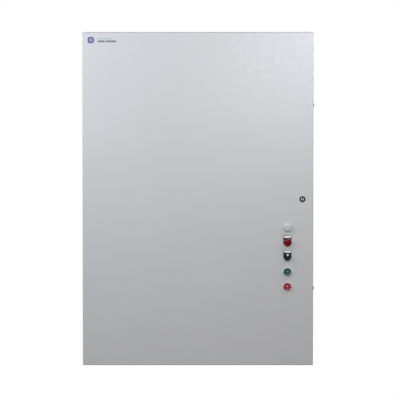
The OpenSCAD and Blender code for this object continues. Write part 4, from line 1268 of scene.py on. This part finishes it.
# each runs from its screw on the earth bar: to the drive flange, the door strap's stud,
# the lower duct and the terminal strip
EARTH_RUNS = (
    ((EARTH_X[0], -0.067, -0.484), (-0.262, -0.074, -0.466), (-0.300, -0.078, -0.440),
     (-0.325, -0.070, -0.380), (-0.332, -0.060, -0.250), (-0.333, -0.050, -0.130),
     (-0.320, -0.046, -0.088), (-0.311, -0.042, -0.080)),
    ((EARTH_X[1], -0.067, -0.484), (-0.244, -0.080, -0.462), (-0.310, -0.088, -0.430),
     (-0.352, -0.080, -0.380), (-0.362, -0.070, -0.250), (-0.364, -0.070, -0.050),
     (-0.366, -0.120, 0.080), (-0.372, -0.220, 0.118), (-0.3795, -0.262, EARTH_STRAP_Z)),
    ((EARTH_X[9], -0.067, -0.484), (-0.076, -0.078, -0.470), (-0.030, -0.080, -0.450),
     (-0.018, -0.070, -0.380), (-0.012, -0.062, -0.300), (0.020, -0.056, -0.214)),
    ((EARTH_X[8], -0.067, -0.484), (-0.092, -0.088, -0.464), (-0.020, -0.090, -0.462),
     (0.060, -0.070, -0.440), (0.086, -0.064, -0.380), (0.0865, -0.070, -0.330)),
)


def earth_wires():
    """Green and yellow wires, each with a ferrule at the bar."""
    shape = bmesh.new()
    for points in EARTH_RUNS:
        cable(shape, points, radius=0.0026)
        start = Vector(points[0])
        tip = start + (Vector(points[1]) - start).normalized() * 0.012
        tube(shape, [start, tip], radius=0.0031, material=1)
    build(shape, "earth_wires", ["wire_earth", "ferrule"], "enclosure",
          angle=50)


control_wires()
earth_wires()


# ------------------------------------------------------------------ door wiring
def operator_tails():
    """Tails from every contact block to the upright bundle beside the column."""
    shape = bmesh.new()
    draw = random.Random(9)
    for i, centre in enumerate(OPERATOR_Z):
        for k, (side, way) in enumerate(((-1, 1), (1, 1), (-1, -1), (1, -1))):
            x = OPERATOR_X + side * CONTACT_DX
            z = centre + way * CONTACT_DZ
            sway = draw.uniform(-0.0025, 0.0025)
            cable(shape, [
                (x, -0.3050, z), (x, -0.2985, z + way * 0.002), (x - 0.006, -0.2935, z - 0.002),
                (0.291, -0.2955 - 0.0008 * k, z - 0.004 + 0.002 * k),
                (0.2765, -0.304, z - 0.010), (0.2725 + sway, -0.319, z - 0.020),
                (0.2722 + sway, -0.3238, z - 0.034)], 0.00120, (i + k) % 4, sides=7, step=0.005)
    build(shape, "operator_tails", WIRE_COLORS, "door", angle=50)


# down beside the operators, then across the door to the hinge side
DOOR_LOOM = [
    (0.272, -0.3245, OPERATOR_Z[0] + 0.012), (0.272, -0.3245, -0.160),
    (0.272, -0.3245, -0.300), (0.271, -0.3245, -0.345), (0.252, -0.3235, -0.366),
    (0.215, -0.3270, LOOM_Z), (0.120, -0.3400, LOOM_Z), (0.0, -0.3405, LOOM_Z),
    (-0.150, -0.3405, LOOM_Z), (-0.270, -0.3400, LOOM_Z), (-0.300, -0.3300, LOOM_Z),
]
HINGE_LOOM = [
    (-0.2985, -0.3305, LOOM_Z), (-0.320, -0.3245, LOOM_Z), (-0.345, -0.3150, -0.3695),
    (-0.360, -0.2980, -0.3680), (-0.3645, -0.2760, -0.3640), (-0.3650, -0.2550, -0.3580),
]
INNER_LOOM = [
    (-0.3650, -0.2555, -0.3582), (-0.3650, -0.2200, -0.3480), (-0.3640, -0.1500, -0.3000),
    (-0.3540, -0.0800, -0.2560), (-0.3200, -0.0480, -0.2350), (-0.200, -0.0440, -0.2300),
    (-0.080, -0.0440, -0.2250), (0.020, -0.0480, -0.2100),
]
# base, two legs and front bar of a loom tie: half width, back and front y,
# and low and high z from the loom
TIE_SLABS = (
    (0.009, -0.3480, -0.3462, -0.009, 0.009),
    (0.0024, -0.3464, -0.3330, -0.0085, -0.0065),
    (0.0024, -0.3464, -0.3330, 0.0065, 0.0085),
    (0.0024, -0.3340, -0.3326, -0.0085, 0.0085),
)
EARTH_STRAP = [
    (-0.3795, -0.262, EARTH_STRAP_Z), (-0.3740, -0.276, EARTH_STRAP_Z),
    (-0.3640, -0.298, EARTH_STRAP_Z), (-0.3500, -0.318, EARTH_STRAP_Z),
    (-0.3380, -0.330, EARTH_STRAP_Z), (-0.3320, -0.3330, EARTH_STRAP_Z),
    (-0.3200, -0.3336, EARTH_STRAP_Z),
]


def wrapped(points, step=0.0028):
    """A bundle whose radius ripples like spiral wrap."""
    shape = bmesh.new()
    tube(shape, spline(points, step), radius=0.0066, sides=16,
         swell=lambda i: 1.0 + 0.07 * math.sin(i * 1.15))
    return shape


def looms():
    shape = wrapped(DOOR_LOOM)
    for x in (0.150, 0.020, -0.110, -0.240):
        for half, low_y, high_y, low_z, high_z in TIE_SLABS:
            slab(shape, (x - half, low_y, LOOM_Z + low_z), (x + half, high_y, LOOM_Z + high_z), 1)
    build(shape, "door_loom", ["sleeve", "black_plastic"], "door", angle=50)
    # the part that bends round the hinge
    bend = build(wrapped(HINGE_LOOM, step=0.0020), "hinge_loom", ["sleeve"], angle=50)
    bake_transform(bend)
    # and on from the side wall to the lower duct
    build(wrapped(INNER_LOOM), "inner_loom", ["sleeve"], "enclosure", angle=50)


def earth_strap():
    """Braided strap across the hinge, with its stud and screw."""
    shape = bmesh.new()
    tube(shape, spline(EARTH_STRAP, step=0.0018), radius=0.006, sides=12, flat=(0.014, 0.0022))
    strap = build(shape, "earth_strap", ["copper_braid"], angle=50)
    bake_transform(strap)

    shape = bmesh.new()
    tube(shape, [(-0.3965, -0.2620, EARTH_STRAP_Z), (-0.3760, -0.2620, EARTH_STRAP_Z)],
         radius=0.0028, sides=14)
    nut = [(0.0, -0.0020), (0.0058, -0.0020), (0.0058, 0.0026), (0.0040, 0.0034), (0.0, 0.0034)]
    lathe(shape, (-0.3800, -0.2620, EARTH_STRAP_Z), (1, 0, 0), nut, 6)
    build(shape, "earth_stud", ["zinc_fastener"], "enclosure",
          bevel=0.0003, angle=30)

    shape = bmesh.new()
    screw(shape, (-0.3270, -0.3330, EARTH_STRAP_Z), BACK, radius=0.0052, height=0.0036)
    build(shape, "door_earth_screw", ["zinc_fastener"], "door", angle=28)


operator_tails()
looms()
earth_strap()

# ------------------------------------------------------------------ stage, light and camera
scene = bpy.context.scene
scene.view_settings.view_transform = "Standard"
scene.view_settings.look = "None"
scene.view_settings.exposure = 0.0
scene.view_settings.gamma = 1.0


def make_world():
    """White to the camera, dim grey to everything else."""
    world = bpy.data.worlds.new("studio")
    scene.world = world
    world.use_nodes = True
    nodes = Nodes(world.node_tree)
    output = nodes.node("ShaderNodeOutputWorld")
    choose = nodes.node("ShaderNodeMixShader")
    rays = nodes.node("ShaderNodeLightPath")
    white = nodes.node("ShaderNodeBackground")
    ambient = nodes.node("ShaderNodeBackground")
    for background in (white, ambient):
        nodes.put(background.inputs[0], (1, 1, 1))
    white.inputs[1].default_value = 1.0
    split = nodes.node("ShaderNodeSeparateXYZ")
    nodes.put(split.inputs[0], nodes.node("ShaderNodeTexCoord").outputs["Generated"])
    # the level by height, which is even for now
    level = nodes.remap(split.outputs[2], (-0.6, 0.8), (0.135, 0.135))
    # the studio is dark behind the camera, so glossy faces that look at it stay deep in colour
    hole = nodes.remap(split.outputs[1], (-0.97, -0.80), (0.10, 1.0), smooth=True)
    product = nodes.node("ShaderNodeMath", operation="MULTIPLY")
    nodes.put(product.inputs[0], hole)
    nodes.put(product.inputs[1], level)
    nodes.put(ambient.inputs[1], product.outputs[0])
    nodes.put(choose.inputs[0], rays.outputs["Is Camera Ray"])
    nodes.put(choose.inputs[1], ambient.outputs[0])
    nodes.put(choose.inputs[2], white.outputs[0])
    nodes.put(output.inputs[0], choose.outputs[0])


def area(name, place, target, size, power, color=(1, 1, 1)):
    light = bpy.data.lights.new(name, "AREA")
    light.shape = "RECTANGLE"
    light.size, light.size_y = size
    light.energy = power
    light.color = color
    lamp = bpy.data.objects.new(name, light)
    scene.collection.objects.link(lamp)
    lamp.location = place
    aim = Vector(target) - Vector(place)
    lamp.rotation_euler = aim.to_track_quat("-Z", "Y").to_euler()
    lamp.visible_camera = False
    return lamp


def make_lights():
    cool = (0.95, 0.985, 1.08)
    area("left_high", (-1.0, -1.2, 0.8), target=(-0.3, -0.35, 0.24),
         size=(0.8, 0.8), power=9.45, color=cool)
    area("right_high", (0.8, -0.75, 0.8), target=(0.24, -0.35, 0.24),
         size=(0.5, 0.5), power=3.5, color=cool)
    # a broad frontal fill, unseen in gloss so the caps keep their depth of colour
    front = area("front", (0.1, -3.2, 0.5), target=(0.05, -0.35, 0.05),
                 size=(1.8, 1.4), power=42.4, color=(1.025, 1.0, 0.955))
    front.visible_glossy = False
    # a small source that only shows as a glint on the glossy caps and lenses
    glint = area("glint", (0.42, -2.4, 0.75), target=(0.31, -0.35, -0.2),
                 size=(0.34, 0.24), power=11.0, color=(0.99, 0.995, 1.02))
    glint.visible_diffuse = False
    # behind the plane of the door, for the sides, top and back
    for name, x in (("side_left", -2.6), ("side_right", 2.6)):
        area(name, (x, 0.6, 1.2), target=(0.0, -0.1, 0.0), size=(1.6, 1.6), power=36)
    area("rear", (0.4, 2.6, 1.3), target=(0.0, 0.0, 0.0), size=(2.0, 1.4), power=40)
    area("top", (0.0, 0.25, 2.6), target=(0.0, -0.1, 0.5), size=(1.6, 0.6), power=9)


def make_floor():
    """Plain pale disc, well below the cabinet as if it hung on a wall."""
    shape = bmesh.new()
    bmesh.ops.create_circle(shape, cap_ends=True, segments=96, radius=2.6,
                            matrix=Matrix.Translation((0, -0.2, -1.45)))
    mesh = bpy.data.meshes.new("floor")
    shape.to_mesh(mesh)
    shape.free()
    floor = bpy.data.objects.new("floor", mesh)
    scene.collection.objects.link(floor)
    look = Look("floor_pale")
    seen = look.node("ShaderNodeLightPath").outputs["Is Camera Ray"]
    pale = look.mix(look.mottle(scale=1.6, detail=4.0), (0.80, 0.80, 0.80), (0.84, 0.84, 0.84))
    # darker to bounced light than to the camera
    look.set(base=look.mix(seen, (0.16, 0.16, 0.16), pale), rough=0.9)
    mesh.materials.append(MATERIALS["floor_pale"])


def make_camera():
    """Looks slightly down at the door's front plane."""
    distance = 3.5
    tilt = math.radians(1.2)
    view_width = 1.3856  # metres across the frame at the door
    target = Vector((0.0072744, DOOR_FRONT, -0.0029444))
    lens = bpy.data.cameras.new("camera")
    lens.sensor_width = 36.0
    lens.lens = 36.0 * distance / view_width
    lens.clip_end = 50
    camera = bpy.data.objects.new("camera", lens)
    scene.collection.objects.link(camera)
    camera.location = target + Vector((0, -math.cos(tilt), math.sin(tilt))) * distance
    camera.rotation_euler = (math.radians(90) - tilt, 0, 0)
    scene.camera = camera


make_world()
make_lights()
make_floor()
make_camera()
